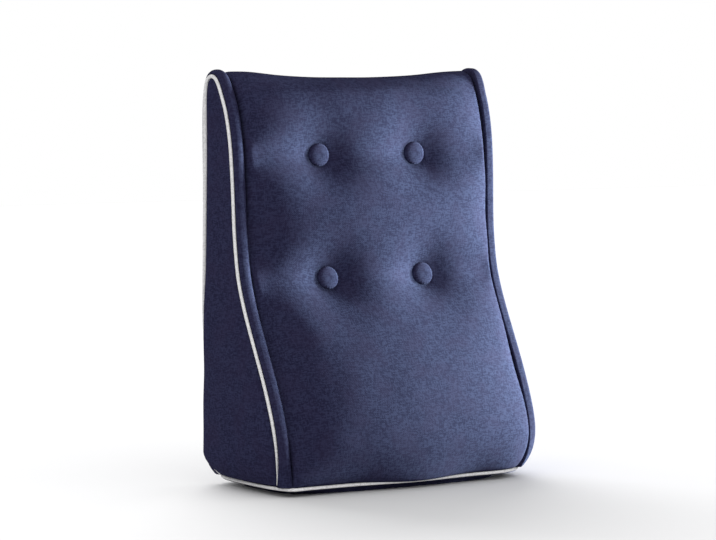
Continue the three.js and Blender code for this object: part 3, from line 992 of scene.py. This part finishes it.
@dataclass(frozen=True)
class Filling:
    """Pressure of the filling behind a cover that is sewn down along its seams and at its buttons."""

    pressure: float = 1.2
    frames: int = 20
    most: float = 4.0
    quality: int = 6
    mass: float = 0.3
    stretch: float = 25.0
    shear: float = 12.0
    bending: float = 2.0

    def settle(self, rings: np.ndarray, sewn: np.ndarray, cap: Cap) -> np.ndarray:
        """Lets a closed cover settle on its filling, by cloth simulation.

        Args:
            rings: The cover's points in millimetres, one row for each ring.
            sewn: How firmly each point is held, from 0 to 1.
            cap: How the first and the last ring are closed.

        Returns:
            How far each point moves in millimetres, never more than the most allowed.
        """
        flat = np.zeros((rings.shape[0], rings.shape[1] + 1, 2))
        cover = ring_mesh("settling_cover", rings, flat, cap, cap)
        group = cover.vertex_groups.new(name="sewn")
        for weight in np.unique(np.round(sewn, 1)):
            members = np.flatnonzero(np.round(sewn, 1).ravel() == weight).tolist()
            group.add(members, float(weight), "REPLACE")
        cloth = cover.modifiers.new("cloth", "CLOTH")
        settings = cloth.settings
        settings.quality = self.quality
        settings.mass = self.mass
        settings.tension_stiffness = settings.compression_stiffness = self.stretch
        settings.shear_stiffness = self.shear
        settings.bending_stiffness = self.bending
        settings.vertex_group_mass = "sewn"
        settings.use_pressure = True
        settings.uniform_pressure_force = self.pressure
        settings.effector_weights.gravity = 0
        cloth.collision_settings.use_collision = False
        scene = bpy.context.scene
        for number in range(1, self.frames + 1):
            scene.frame_set(number)
        settled = cover.evaluated_get(bpy.context.evaluated_depsgraph_get()).to_mesh()
        after = np.empty(rings.size, np.float32)
        settled.vertices.foreach_get("co", after)
        scene.frame_set(1)
        bpy.data.meshes.remove(cover.data)
        moved = after.reshape(rings.shape) / MM - rings
        length, tiny = np.linalg.norm(moved, axis=-1, keepdims=True), 1e-6
        LOG.info("filling moved the cover by up to %.1f mm before its limit", float(length.max()))
        return moved * np.tanh(length / self.most) * self.most / np.maximum(length, tiny)


def finer(coarse: np.ndarray) -> np.ndarray:
    """Spreads a field over a grid twice as fine: the points between are means, then all are smoothed.

    Args:
        coarse: Field on the coarse grid.

    Returns:
        Field on the fine grid.
    """
    rows, columns = coarse.shape[:2]
    fine = np.zeros((2 * rows - 1, 2 * columns - 1, coarse.shape[2]))
    fine[::2, ::2] = coarse
    fine[1::2] = (fine[:-2:2] + fine[2::2]) / 2
    fine[:, 1::2] = (fine[:, :-2:2] + fine[:, 2::2]) / 2
    for _ in range(2):
        fine[1:-1] = (fine[:-2] + 2 * fine[1:-1] + fine[2:]) / 4
        fine[:, 1:-1] = (fine[:, :-2] + 2 * fine[:, 1:-1] + fine[:, 2:]) / 4
    return fine


@dataclass(frozen=True)
class BodyCover:
    """Tufted front, top and back in one cover, with its walls under the two borders."""

    form: WedgeForm
    columns: int = 160
    even_share: float = 0.3
    per_row: int = 9
    wall_depth: float = 4.6
    hidden_cloth: float = 200.0
    sewn_reach: float = 34.0
    sewn_fade: float = 14.0
    lump: float = 0.3
    lump_length: float = 75.0
    lump_end_power: float = 30.0
    lump_seed: int = 3
    pucker: float = 0.15
    pucker_pitch: float = 13.0
    pucker_reach: float = 7.0
    wander: float = 1.6
    wander_length: float = 60.0
    wander_apart: float = 400.0
    wander_seed: int = 5
    groove: float = 1.4
    groove_out: float = 0.8
    groove_width: float = 2.6
    droop: float = 7.0
    droop_place: float = 5.0
    droop_half_width: float = 130.0

    def build(self, finishes: Finishes) -> bpy.types.Object:
        """Builds the cover and dresses it.

        Args:
            finishes: Materials of the cushion.

        Returns:
            The dressed piece.
        """
        t = self.form.stations(self.per_row)
        even = np.linspace(-1, 1, self.columns + 1)
        across = self.even_share * even + (1 - self.even_share) * np.sin(math.pi / 2 * even)
        panel = self.form.panel(t[None, :], across[:, None])
        panel = panel + self._settled(panel, t)
        panel = panel + self._relief(panel, t, across)[..., None] * self._outward(panel)
        panel[..., 2] -= self._droop(panel, t, across)
        walls = [self._wall(t, side) for side in Side]
        rings = np.concatenate([walls[0][None], panel, walls[1][None]])
        piece = ring_mesh("body_cover", rings, self._cloth(rings), Cap.LADDER, Cap.LADDER)
        return dress(piece, finishes.cloth, "cushion_body")

    def _droop(self, panel: np.ndarray, t: np.ndarray, across: np.ndarray) -> np.ndarray:
        """Gives how far the front sinks over its base piping, below its middle and just above the seam.

        It is a squared cosine across, and up the curl it is greatest halfway out.

        Args:
            panel: The panel's points.
            t: Places along the outline.
            across: Places across the panel.

        Returns:
            The distance down for each point.
        """
        middle = bell(np.abs(self.form.panel_x(across) - self.droop_place), self.droop_half_width)
        curl = self.form.curl(panel[len(panel) // 2, :, 2]) * (t > 0.5)
        return self.droop * middle[:, None] * (4 * curl * (1 - curl))[None, :]

    def _outward(self, panel: np.ndarray) -> np.ndarray:
        """Gives the panel's normals, turned out of the filling.

        Args:
            panel: The panel's points.

        Returns:
            The normals.
        """
        normals = grid_normals(panel)
        middle = panel.shape[0] // 2, 3 * panel.shape[1] // 4
        return -normals if normals[middle][1] > 0 else normals

    def _wall(self, t: np.ndarray, side: Side) -> np.ndarray:
        """Gives the line down inside a crease, where the panel is sewn to the border."""
        frames = self.form.border_frames(t, side)
        return frames.points(frames.width, np.full_like(t, -self.wall_depth))

    def _cloth(self, rings: np.ndarray) -> np.ndarray:
        """Gives places on the flat cloth: X across, and the length along the middle of the outline.

        Args:
            rings: The cover's rings.

        Returns:
            The places, one more than the points of each ring.
        """
        along = arc_lengths(rings[len(rings) // 2])
        along = np.append(along, along[-1] + self.hidden_cloth)
        return cloth_places(rings[:, :1, 0], along[None, :])

    def _from_buttons(self, panel: np.ndarray) -> np.ndarray:
        """Gives each point's distance from the nearest button's middle, in the front only.

        Args:
            panel: Points of the panel.

        Returns:
            The distances.
        """
        spots = []
        for row in BUTTON_ROWS:
            t = np.array(self.form.place_in_front(row.height))
            spots += [self.form.panel(t, self.form.button_across(row, side)) for side in Side]
        return np.min([np.linalg.norm(panel - spot, axis=-1) for spot in spots], axis=0)

    def _settled(self, panel: np.ndarray, t: np.ndarray) -> np.ndarray:
        """Lets the panel settle on its filling, held at its creases, its base seam and its buttons.

        Args:
            panel: The panel's points.
            t: Places along the outline.

        Returns:
            How far each point moves.
        """
        coarse = panel[::2, ::2]
        walls = [self._wall(t[::2], side)[None] for side in Side]
        rings = np.concatenate([walls[0], coarse, walls[1]])
        held = np.clip((self.sewn_reach - self._from_buttons(rings)) / self.sewn_fade, 0, 1)
        held[:2] = held[-2:] = 1
        held[:, :3] = held[:, -3:] = 1
        return finer(Filling().settle(rings, held, Cap.LADDER)[1:-1])

    def _relief(self, panel: np.ndarray, t: np.ndarray, across: np.ndarray) -> np.ndarray:
        """Gives the small relief: lumps of filling, puckers beside the creases, a groove round each button.

        A pucker rises and falls along the seam as a sine with a wandering phase, and fades with the distance
        from the crease. The groove is a narrow bell round the button's rim.

        Args:
            panel: The panel's points.
            t: Places along the outline.
            across: Places across the panel.

        Returns:
            The height of the relief at each point.
        """
        along = arc_lengths(panel[self.columns // 2])[None, :]
        x = self.form.panel_x(across)[:, None]
        free = 1 - np.abs(across)[:, None] ** self.lump_end_power
        lumps = self.lump * unevenness(x, along, self.lump_length, self.lump_seed) * free
        from_crease = self.form.panel_half_width * (1 - np.abs(across))[:, None]
        halves = self.wander_apart * np.sign(x)
        wander = self.wander * unevenness(halves, along, self.wander_length, self.wander_seed)
        fade = from_crease / self.pucker_reach * np.exp(1 - from_crease / self.pucker_reach)
        puckers = self.pucker * fade * np.sin(math.tau * along / self.pucker_pitch + wander)
        rim = self._from_buttons(panel) - self.form.button_radius - self.groove_out
        grooves = self.groove * np.exp(-((rim / self.groove_width) ** 2))
        low = np.clip(np.minimum(t, 1 - t) * self.form.steps / self.form.foot_rows, 0, 1)[None, :]
        return (lumps + puckers) * low - grooves


@dataclass(frozen=True)
class BorderCover:
    """Rolled border strip between a piping cord and a crease."""

    form: WedgeForm
    side: Side
    per_row: int = 7
    underside: float = -3.2
    cord_side: float = 3.4
    cord_flank: float = 3.35
    crease_gap: float = 0.5
    crease_level: float = -0.4
    flank_turns: tuple[float, ...] = (-40.0, -15.0, 10.0, 35.0, 60.0)
    roll_gap: float = 0.6
    roll_turns: tuple[float, float] = (152.0, 4.0)
    roll_points: int = 30
    outer_squareness: float = 3.0
    slant: float = -0.02
    pucker: float = 0.12
    pucker_pitch: float = 11.0
    wander: float = 1.5
    wander_length: float = 55.0
    wander_apart: float = 90.0
    wander_seed: int = 7
    hidden_cloth: float = 10.0

    @property
    def inner_squareness(self) -> float:
        """Squareness of the roll beside the crease."""
        return {Side.LEFT: 2.0, Side.RIGHT: 8.0}[self.side]

    @property
    def nose(self) -> float:
        """Distance of the roll's outer edge from the seam."""
        return {Side.LEFT: 0.5, Side.RIGHT: -0.8}[self.side]

    def build(self, finishes: Finishes) -> bpy.types.Object:
        """Builds the strip and dresses it.

        Args:
            finishes: Materials of the cushion.

        Returns:
            The dressed piece.
        """
        t = self.form.stations(self.per_row)
        frames = self.form.border_frames(t, self.side)
        across, out = self._section(frames)
        rings = frames.points(across, out)
        round_section = arc_lengths(np.stack([across, out], axis=-1)[len(t) // 4])
        round_section = np.append(round_section, round_section[-1] + self.hidden_cloth)
        cloth = cloth_places(round_section[None, :], arc_lengths(frames.seam)[:, None])
        piece = ring_mesh(f"border_cover_{self.side.word}", rings, cloth)
        return dress(piece, finishes.cloth, f"border_{self.side.word}")

    def _section(self, frames: BorderFrames) -> tuple[np.ndarray, np.ndarray]:
        """Gives the strip's section at each station, as distances across and out.

        It follows the piping's flank, rises over it into half a superellipse, and goes down into the crease.
        The slant makes it a little lower inside than outside. A small sine along the seam, with a wandering
        phase, puckers its edges.

        Args:
            frames: Axes of the strip at its stations.

        Returns:
            The distances across and the distances out, one row for each station.
        """
        flank = np.radians(self.flank_turns)
        turn = np.radians(np.linspace(*self.roll_turns, self.roll_points))
        along = arc_lengths(frames.seam)[:, None]
        crown = by_height(BORDER, self.side.word)(frames.seam[:, 2])[:, None]
        half = ((frames.width - self.roll_gap - self.nose) / 2)[:, None]
        places = 0 * along + self.wander_apart * self.side.value
        wander = self.wander * unevenness(places, along, self.wander_length, self.wander_seed)
        pucker = self.pucker * np.sin(math.tau * along / self.pucker_pitch + wander)
        power = 2 / np.where(turn < math.pi / 2, self.inner_squareness, self.outer_squareness)
        sideways = np.sign(np.cos(turn)) * np.abs(np.cos(turn)) ** power
        roll_across = self.nose + half * (1 + sideways)
        roll_out = crown * np.sin(turn) ** power * (1 + self.slant * sideways)
        roll_out = roll_out + pucker * np.abs(np.cos(turn)) * np.sin(turn)
        crease = (frames.width - self.crease_gap)[:, None]
        one = np.ones_like(crease)
        foot = self.underside * one
        across = [self.cord_side * one, self.cord_flank * np.cos(flank) * one, roll_across, crease, crease]
        out = [foot, self.cord_flank * np.sin(flank) * one, roll_out, self.crease_level * one, foot]
        return np.hstack(across), np.hstack(out)


@dataclass(frozen=True)
class SideCover:
    """Side panel, with its share of the filling under the border strip."""

    form: WedgeForm
    side: Side
    per_row: int = 7
    columns: int = 60
    rim_level: float = -4.2
    rim_out: float = -1.0
    inner_gap: float = 0.5
    meeting: float = 0.98
    crowding: float = 1.7
    edge_reach: float = 4.0
    back_edge: float = 0.7
    back_reach: float = 30.0
    front_edge: float = 0.3
    front_reach: float = 45.0
    front_power: float = 1.1
    lump: float = 0.6
    lump_length: float = 70.0
    lump_seed: int = 11

    def build(self, finishes: Finishes) -> bpy.types.Object:
        """Builds the panel and dresses it.

        Args:
            finishes: Materials of the cushion.

        Returns:
            The dressed piece.
        """
        t = self.form.stations(self.per_row)
        frames = self.form.border_frames(t, self.side)
        level = np.full_like(t, self.rim_level)
        inner = frames.points(frames.width - self.inner_gap, level)
        rings = np.concatenate([inner[None], self._panel(frames.points(0 * t + self.rim_out, level))])
        cloth = laid_flat(rings[..., 1:], -1)
        piece = ring_mesh(f"side_cover_{self.side.word}", rings, cloth, Cap.LADDER, Cap.LADDER)
        return dress(piece, finishes.cloth, f"side_panel_{self.side.word}")

    def _panel(self, rim: np.ndarray) -> np.ndarray:
        """Gives rings from the rim to the panel's middle line.

        Each rim point moves towards the point at its height on the other edge. The panel swells outwards
        with the distance from the rim, soon inside the back edge and more slowly inside the front one.

        Args:
            rim: The panel's edge, up the back and down the front.

        Returns:
            The rings, each as long as the rim.
        """
        middle = (rim + rim[::-1]) / 2
        chord = np.linalg.norm(rim - middle, axis=-1)[None, :]
        share = (self.meeting * np.linspace(0, 1, self.columns // 2) ** self.crowding)[:, None]
        near = share * chord
        far = 2 * chord - near
        in_front = (np.arange(len(rim)) > len(rim) // 2)[None, :]
        from_back, from_front = np.where(in_front, far, near), np.where(in_front, near, far)
        soon = self._rise(from_back, self.back_edge, self.back_reach, 1)
        slowly = self._rise(from_front, self.front_edge, self.front_reach, self.front_power)
        places = rim[None] + (middle - rim)[None] * share[..., None]
        y, z = places[..., 1], places[..., 2]
        lumps = self.lump * unevenness(y, z, self.lump_length, self.lump_seed + self.side.value)
        swell = by_height(SIDE, "swell")(z) * soon * slowly
        places[..., 0] += self.side.value * (swell + lumps * soon * slowly)
        return places

    def _rise(self, away: np.ndarray, edge_share: float, reach: float, power: float) -> np.ndarray:
        """Rises from 0 at an edge to 1, by exponentials: a share close beside it, the rest over a reach."""
        at_edge = 1 - np.exp(-away / self.edge_reach)
        return edge_share * at_edge + (1 - edge_share) * (1 - np.exp(-((away / reach) ** power)))


def tube(
    path: np.ndarray, across: np.ndarray, out: np.ndarray, radius: np.ndarray, sides: int
) -> tuple[np.ndarray, np.ndarray]:
    """Carries a circle along a path and rounds both ends.

    Args:
        path: Points of the path in millimetres.
        across: First axis of the section at each point.
        out: Second axis of the section at each point.
        radius: Radius at each point.
        sides: Points round the section.

    Returns:
        The rings, and the places on the cloth that is wrapped round them.
    """
    bends, end_length, tip = np.radians([90.0, 65, 40, 18]), 0.6, 0.08
    reach, shrink = end_length * np.sin(bends)[:, None], tip + (1 - tip) * np.cos(bends)
    ways = path[0] - path[1], path[-1] - path[-2]
    first, last = (path[i] + radius[i] * reach * unit(way) for i, way in zip((0, -1), ways))
    path = np.concatenate([first, path, last[::-1]])
    radius = np.concatenate([radius[0] * shrink, radius, radius[-1] * shrink[::-1]])
    added = len(bends), len(bends)
    across, out = (np.pad(axis, (added, (0, 0)), mode="edge") for axis in (across, out))
    turn = np.linspace(0, math.tau, sides + 1)[:-1]
    circle = np.cos(turn)[None, :, None] * across[:, None] + np.sin(turn)[None, :, None] * out[:, None]
    rings = path[:, None] + radius[:, None, None] * circle
    round_cord = np.linspace(0, math.tau * float(np.median(radius)), sides + 1)[None, :]
    return rings, cloth_places(round_cord, arc_lengths(path)[:, None])


def cord_fullness(along: np.ndarray, amount: float, seed: int, wavelength: float = 14.0) -> np.ndarray:
    """Gives how much fuller than its radius an uneven cord is along its length, as a factor."""
    return 1 + amount * unevenness(along, 0 * along, wavelength, seed)


@dataclass(frozen=True)
class SidePiping:
    """Piping cord in a side seam, a little fuller behind, and slimmer low down in front."""

    form: WedgeForm
    side: Side
    radius: float = 2.5
    fuller: float = 1.0
    fuller_to: float = 0.46
    fuller_fade: float = 0.02
    slimmer: float = 0.6
    slimmer_to: float = 75.0
    slimmer_fade: float = 15.0
    uneven: float = 0.025
    uneven_seed: int = 21
    per_row: int = 10
    sides: int = 18
    left_off: int = 4

    def build(self, finishes: Finishes) -> bpy.types.Object:
        """Builds the cord, uneven by a few hundredths of its radius, and dresses it.

        Args:
            finishes: Materials of the cushion.

        Returns:
            The dressed piece.
        """
        t = self.form.stations(self.per_row)[self.left_off : -self.left_off]
        frames = self.form.border_frames(t, self.side)
        low = fading(frames.seam[:, 2], self.slimmer_to, self.slimmer_fade)
        radius = self.radius + self.fuller * fading(t, self.fuller_to, self.fuller_fade)
        radius = radius - np.where(t > 0.5, self.slimmer * low, 0)
        seed = self.uneven_seed + self.side.value
        radius = radius * cord_fullness(arc_lengths(frames.seam), self.uneven, seed)
        rings, cloth = tube(frames.seam, frames.across, frames.out, radius, self.sides)
        piece = ring_mesh(f"piping_cord_{self.side.word}", rings, cloth)
        return dress(piece, finishes.piping, f"piping_{self.side.word}")


@dataclass(frozen=True)
class BasePiping:
    """Piping cord in the base seam, joined under a lapped end in the middle of the back."""

    form: WedgeForm
    radius: float = 2.4
    gap: float = 0.3
    count: int = 520
    sides: int = 18
    lap: float = 16.0
    lap_rise: float = 0.3
    lap_fade: float = 0.4
    uneven: float = 0.02
    uneven_seed: int = 31

    def build(self, finishes: Finishes) -> bpy.types.Object:
        """Builds the cord and dresses it.

        Args:
            finishes: Materials of the cushion.

        Returns:
            The dressed piece.
        """
        loop = self.form.base_loop(self.count)
        height = self.form.base_height - self.gap - self.radius
        path = np.column_stack([loop, np.full(self.count, height)])[1:]
        along = arc_lengths(path)
        steps = unit(np.gradient(path, axis=0))
        up = np.tile((0.0, 0.0, 1.0), (len(path), 1))
        lapped = self.lap_rise * fading(along, self.lap, self.lap_fade)
        radius = self.radius * cord_fullness(along, self.uneven, self.uneven_seed) + lapped
        rings, cloth = tube(path, np.cross(steps, up), up, radius, self.sides)
        piece = ring_mesh("base_piping_cord", rings, cloth)
        return dress(piece, finishes.piping, "piping_base")


@dataclass(frozen=True)
class BaseCover:
    """Shallow base panel inside the piping, resting on a rounded patch."""

    form: WedgeForm
    count: int = 260
    rim_inset: float = 4.0
    lip_inset: float = 0.8
    lip_height: float = 7.9
    lip_round: float = 0.4
    gap: float = 0.3
    rest_middle: float = -8.0
    rest_half_width: float = 186.0
    rest_half_depth: float = 95.0
    rest_power: float = 4.0
    steepness: float = 0.5
    flank_rings: int = 12

    def build(self, finishes: Finishes) -> bpy.types.Object:
        """Builds the panel and dresses it.

        Args:
            finishes: Materials of the cushion.

        Returns:
            The dressed piece.
        """
        rings = np.stack([self._inset(self.rim_inset, self.form.base_height - self.gap), *self._flank()])
        piece = ring_mesh("base_cover", rings, laid_flat(rings[..., :2], 0))
        return dress(piece, finishes.cloth, "base_panel")

    def _inset(self, inset: float, height: float) -> np.ndarray:
        """Gives the base seam moved in by an inset, at a height.

        Args:
            inset: Distance in from the seam.
            height: Height of the ring.

        Returns:
            The ring.
        """
        loop = self.form.base_loop(self.count)
        along = unit(np.roll(loop, -1, axis=0) - np.roll(loop, 1, axis=0))
        moved = loop + inset * np.column_stack([along[:, 1], -along[:, 0]])
        return np.column_stack([moved, np.full(self.count, height)])

    def _flank(self) -> list[np.ndarray]:
        """Gives rings from the piping down to the resting patch.

        The patch is a superellipse. The flank rises from it by a power of the share of the way to the lip.

        Returns:
            The rings, from the highest down.
        """
        lip = self._inset(self.lip_inset, self.lip_height)
        middle = (self.rest_middle, (self.form.edge.points[0, 0] + self.form.edge.points[-1, 0]) / 2)
        flat = lip[:, :2] - middle
        reach = (np.abs(flat) / (self.rest_half_width, self.rest_half_depth)) ** self.rest_power
        rest = flat * (reach.sum(axis=1) ** (-1 / self.rest_power))[:, None] + middle
        flank = [self._between(lip, rest, share) for share in np.linspace(0, 1, self.flank_rings)]
        return [self._inset(self.rim_inset, self.lip_height + self.lip_round), *flank]

    def _between(self, lip: np.ndarray, rest: np.ndarray, share: float) -> np.ndarray:
        """Gives the ring at a share of the way from the lip to the resting patch."""
        flat = lip[:, :2] + (rest - lip[:, :2]) * share
        return np.column_stack([flat, lip[:, 2] * (1 - share) ** self.steepness])


@dataclass(frozen=True)
class ButtonCover:
    """Covered button: a dome of cloth drawn over its rim in small pleats."""

    form: WedgeForm
    row: ButtonRow
    side: Side
    rim: float = 4.8
    dome: float = 8.6
    flatness: float = 2.4
    gap: float = 0.3
    sides: int = 96
    dome_rings: int = 22
    tip_turn: float = 0.03
    pleats: int = 22
    pleat: float = 0.28
    pleat_power: float = 6.0
    wander: float = 0.8
    wander_waves: int = 3

    def build(self, finishes: Finishes) -> bpy.types.Object:
        """Builds the button on its seat and dresses it.

        Args:
            finishes: Materials of the cushion.

        Returns:
            The dressed piece.
        """
        name = f"{self.row.name}_{self.side.word}"
        local = self._dome()
        piece = ring_mesh(f"button_cover_{name}", self._seated(local), laid_flat(local[..., :2], 0))
        return dress(piece, finishes.cloth, f"button_{name}")

    def _dome(self) -> np.ndarray:
        """Gives the button's rings about its own axis, from the top of the dome to the middle of its back.

        The dome is a quarter superellipse, the rim below it is rounded, and the pleats are a sine round the
        axis that grows towards the rim.

        Returns:
            The rings, with the axis along Z.
        """
        turn = np.linspace(self.tip_turn, math.pi / 2, self.dome_rings)
        arch = (1 - np.sin(turn) ** self.flatness) ** (1 / self.flatness)
        reach = np.concatenate([np.sin(turn), BUTTON_UNDERSIDE["reach"]])[:, None]
        level = np.concatenate([self.rim + (self.dome - self.rim) * arch, BUTTON_UNDERSIDE["level"]])[:, None]
        angle = np.linspace(0, math.tau, self.sides + 1)[:-1]
        wander = self.wander * np.sin(self.wander_waves * angle + self.row.height)
        folds = self.pleat * np.sin(self.pleats * angle + wander)[None, :] * reach**self.pleat_power
        out = (self.form.button_radius - self.pleat) * reach + folds
        return np.stack([out * np.cos(angle), out * np.sin(angle), level + 0 * out], axis=-1)

    def _seated(self, local: np.ndarray) -> np.ndarray:
        """Places the button on the panel, its axis out of the outline at its row.

        Args:
            local: The button's rings about its own axis.

        Returns:
            The points, with X, Y and Z last.
        """
        t = np.array(self.form.place_in_front(self.row.height))
        across = self.form.button_across(self.row, self.side)
        seat = self.form.panel(t, np.array(across), self.row.seat + self.gap)
        out = self.form.outline(t)[2]
        right = np.array([1.0, 0.0, 0.0])
        up = np.cross(out, right)
        return seat + local @ np.stack([right, up, out])


@dataclass(frozen=True)
class Studio:
    """Pale floor, soft light and the camera at the photograph's angle."""

    camera_place: Place = (-2660.3, -3922.9, 621.0)
    camera_aim: Place = (-26.2, 7.0, 310.1)
    lens: float = 163.1
    sensor: float = 36.0
    farthest: float = 50.0
    floor_size: float = 16.0
    surround: float = 1.0
    key_place: Place = (1800.0, -430.0, 350.0)
    key_aim: Place = (0.0, -40.0, 300.0)
    key_size: tuple[float, float] = (0.4, 0.2)
    key_power: float = 420.0
    key_colour: Colour = (0.8, 1.0, 0.84)
    back_place: Place = (800.0, 2860.0, 1350.0)
    back_spread: float = 56.0
    back_strength: float = 3.3
    fill_place: Place = (200.0, -3900.0, 1400.0)
    fill_spread: float = 40.0
    fill_strength: float = 1.0

    def build(self, piping: list[bpy.types.Object], buttons: list[bpy.types.Object]) -> None:
        """Builds the floor, the lights, the surround and the camera.

        The key light shades the cloth alone, so that the floor keeps a soft shadow and the piping its even
        tone, and the buttons throw no long shadow from it. The back light falls on the floor alone, and
        draws the floor's shadow forward. The fill light whitens the piping alone.

        Args:
            piping: The piping cords.
            buttons: The covered buttons.
        """
        floor = self._floor()
        self._surround()
        key = self._key_light()
        back = self._broad_light("back_light", self.back_place, self.back_spread, self.back_strength)
        fill = self._broad_light("fill_light", self.fill_place, self.fill_spread, self.fill_strength)
        key.light_linking.receiver_collection = self._linked("lit_by_key", [floor, *piping], "EXCLUDE")
        key.light_linking.blocker_collection = self._linked("shading_key", buttons, "EXCLUDE")
        back.light_linking.receiver_collection = self._linked("lit_by_back", [floor], "INCLUDE")
        fill.light_linking.receiver_collection = self._linked("lit_by_fill", piping, "INCLUDE")
        self._camera()

    def _linked(self, name: str, pieces: list[bpy.types.Object], state: str) -> bpy.types.Collection:
        """Collects the pieces that a light is linked to, or kept from.

        Args:
            name: Name of the collection.
            pieces: The pieces.
            state: INCLUDE to link them to the light, EXCLUDE to keep them from it.

        Returns:
            The collection.
        """
        group = bpy.data.collections.new(name)
        for piece in pieces:
            group.objects.link(piece)
        for member in group.collection_objects:
            member.light_linking.link_state = state
        return group

    def _floor(self) -> bpy.types.Object:
        """Lays the floor under the cushion.

        Returns:
            The floor.
        """
        half = self.floor_size / 2
        corners = [(-half, -half, 0), (half, -half, 0), (half, half, 0), (-half, half, 0)]
        mesh = bpy.data.meshes.new("floor")
        mesh.from_pydata(corners, [], [(0, 1, 2, 3)])
        floor = bpy.data.objects.new("floor", mesh)
        bpy.context.scene.collection.objects.link(floor)
        mesh.materials.append(PaleFloor().make())
        return floor

    def _surround(self) -> None:
        """Fills the studio with even white light."""
        world = bpy.data.worlds.new("studio")
        world.use_nodes = True
        background = world.node_tree.nodes["Background"]
        background.inputs[0].default_value = opaque((1.0, 1.0, 1.0))
        background.inputs[1].default_value = self.surround
        bpy.context.scene.world = world
        bpy.context.scene.view_settings.view_transform = "Standard"

    def _key_light(self) -> bpy.types.Object:
        """Sets up the soft light on the right, low and a little in front.

        Returns:
            The light.
        """
        data = bpy.data.lights.new("key_light", "AREA")
        data.shape = "RECTANGLE"
        data.size, data.size_y = self.key_size
        data.energy = self.key_power
        data.color = self.key_colour
        return self._light(data, self.key_place, self.key_aim)

    def _broad_light(self, name: str, place: Place, spread: float, strength: float) -> bpy.types.Object:
        """Sets up a broad, even light from a place.

        Args:
            name: Name of the light.
            place: Place that it comes from.
            spread: Width of the light in degrees.
            strength: Its strength.

        Returns:
            The light.
        """
        data = bpy.data.lights.new(name, "SUN")
        data.angle = math.radians(spread)
        data.energy = strength
        return self._light(data, place, (0.0, 0.0, 0.0))

    def _light(self, data: bpy.types.Light, place: Place, aim: Place) -> bpy.types.Object:
        """Places a light where no view shows it.

        Args:
            data: The light.
            place: Where it stands.
            aim: Where it points.

        Returns:
            The placed light.
        """
        light = self._aimed(data, place, aim)
        light.visible_camera = False
        return light

    def _aimed(self, data: bpy.types.ID, place: Place, aim: Place) -> bpy.types.Object:
        """Places a light or the camera and points it at a place, both in millimetres.

        Args:
            data: The light or the camera.
            place: Where it stands.
            aim: Where it points.

        Returns:
            The placed object.
        """
        thing = bpy.data.objects.new(data.name, data)
        thing.location = Vector(place) * MM
        thing.rotation_euler = (Vector(aim) - Vector(place)).to_track_quat("-Z", "Y").to_euler()
        bpy.context.scene.collection.objects.link(thing)
        return thing

    def _camera(self) -> None:
        """Sets up the camera."""
        data = bpy.data.cameras.new("camera")
        data.sensor_width = self.sensor
        data.lens = self.lens
        data.clip_end = self.farthest
        bpy.context.scene.camera = self._aimed(data, self.camera_place, self.camera_aim)


def main() -> None:
    """Builds every piece of the cushion, and the studio round it."""
    logging.basicConfig(level=logging.INFO, format="%(message)s")
    form = WedgeForm()
    finishes = Finishes(MelangeCloth().make(), PipingCloth().make())
    BodyCover(form).build(finishes)
    piping, buttons = [], []
    for side in Side:
        BorderCover(form, side).build(finishes)
        SideCover(form, side).build(finishes)
        piping.append(SidePiping(form, side).build(finishes))
        buttons += [ButtonCover(form, row, side).build(finishes) for row in BUTTON_ROWS]
    BaseCover(form).build(finishes)
    piping.append(BasePiping(form).build(finishes))
    Studio().build(piping, buttons)


if __name__ == "__main__":
    main()
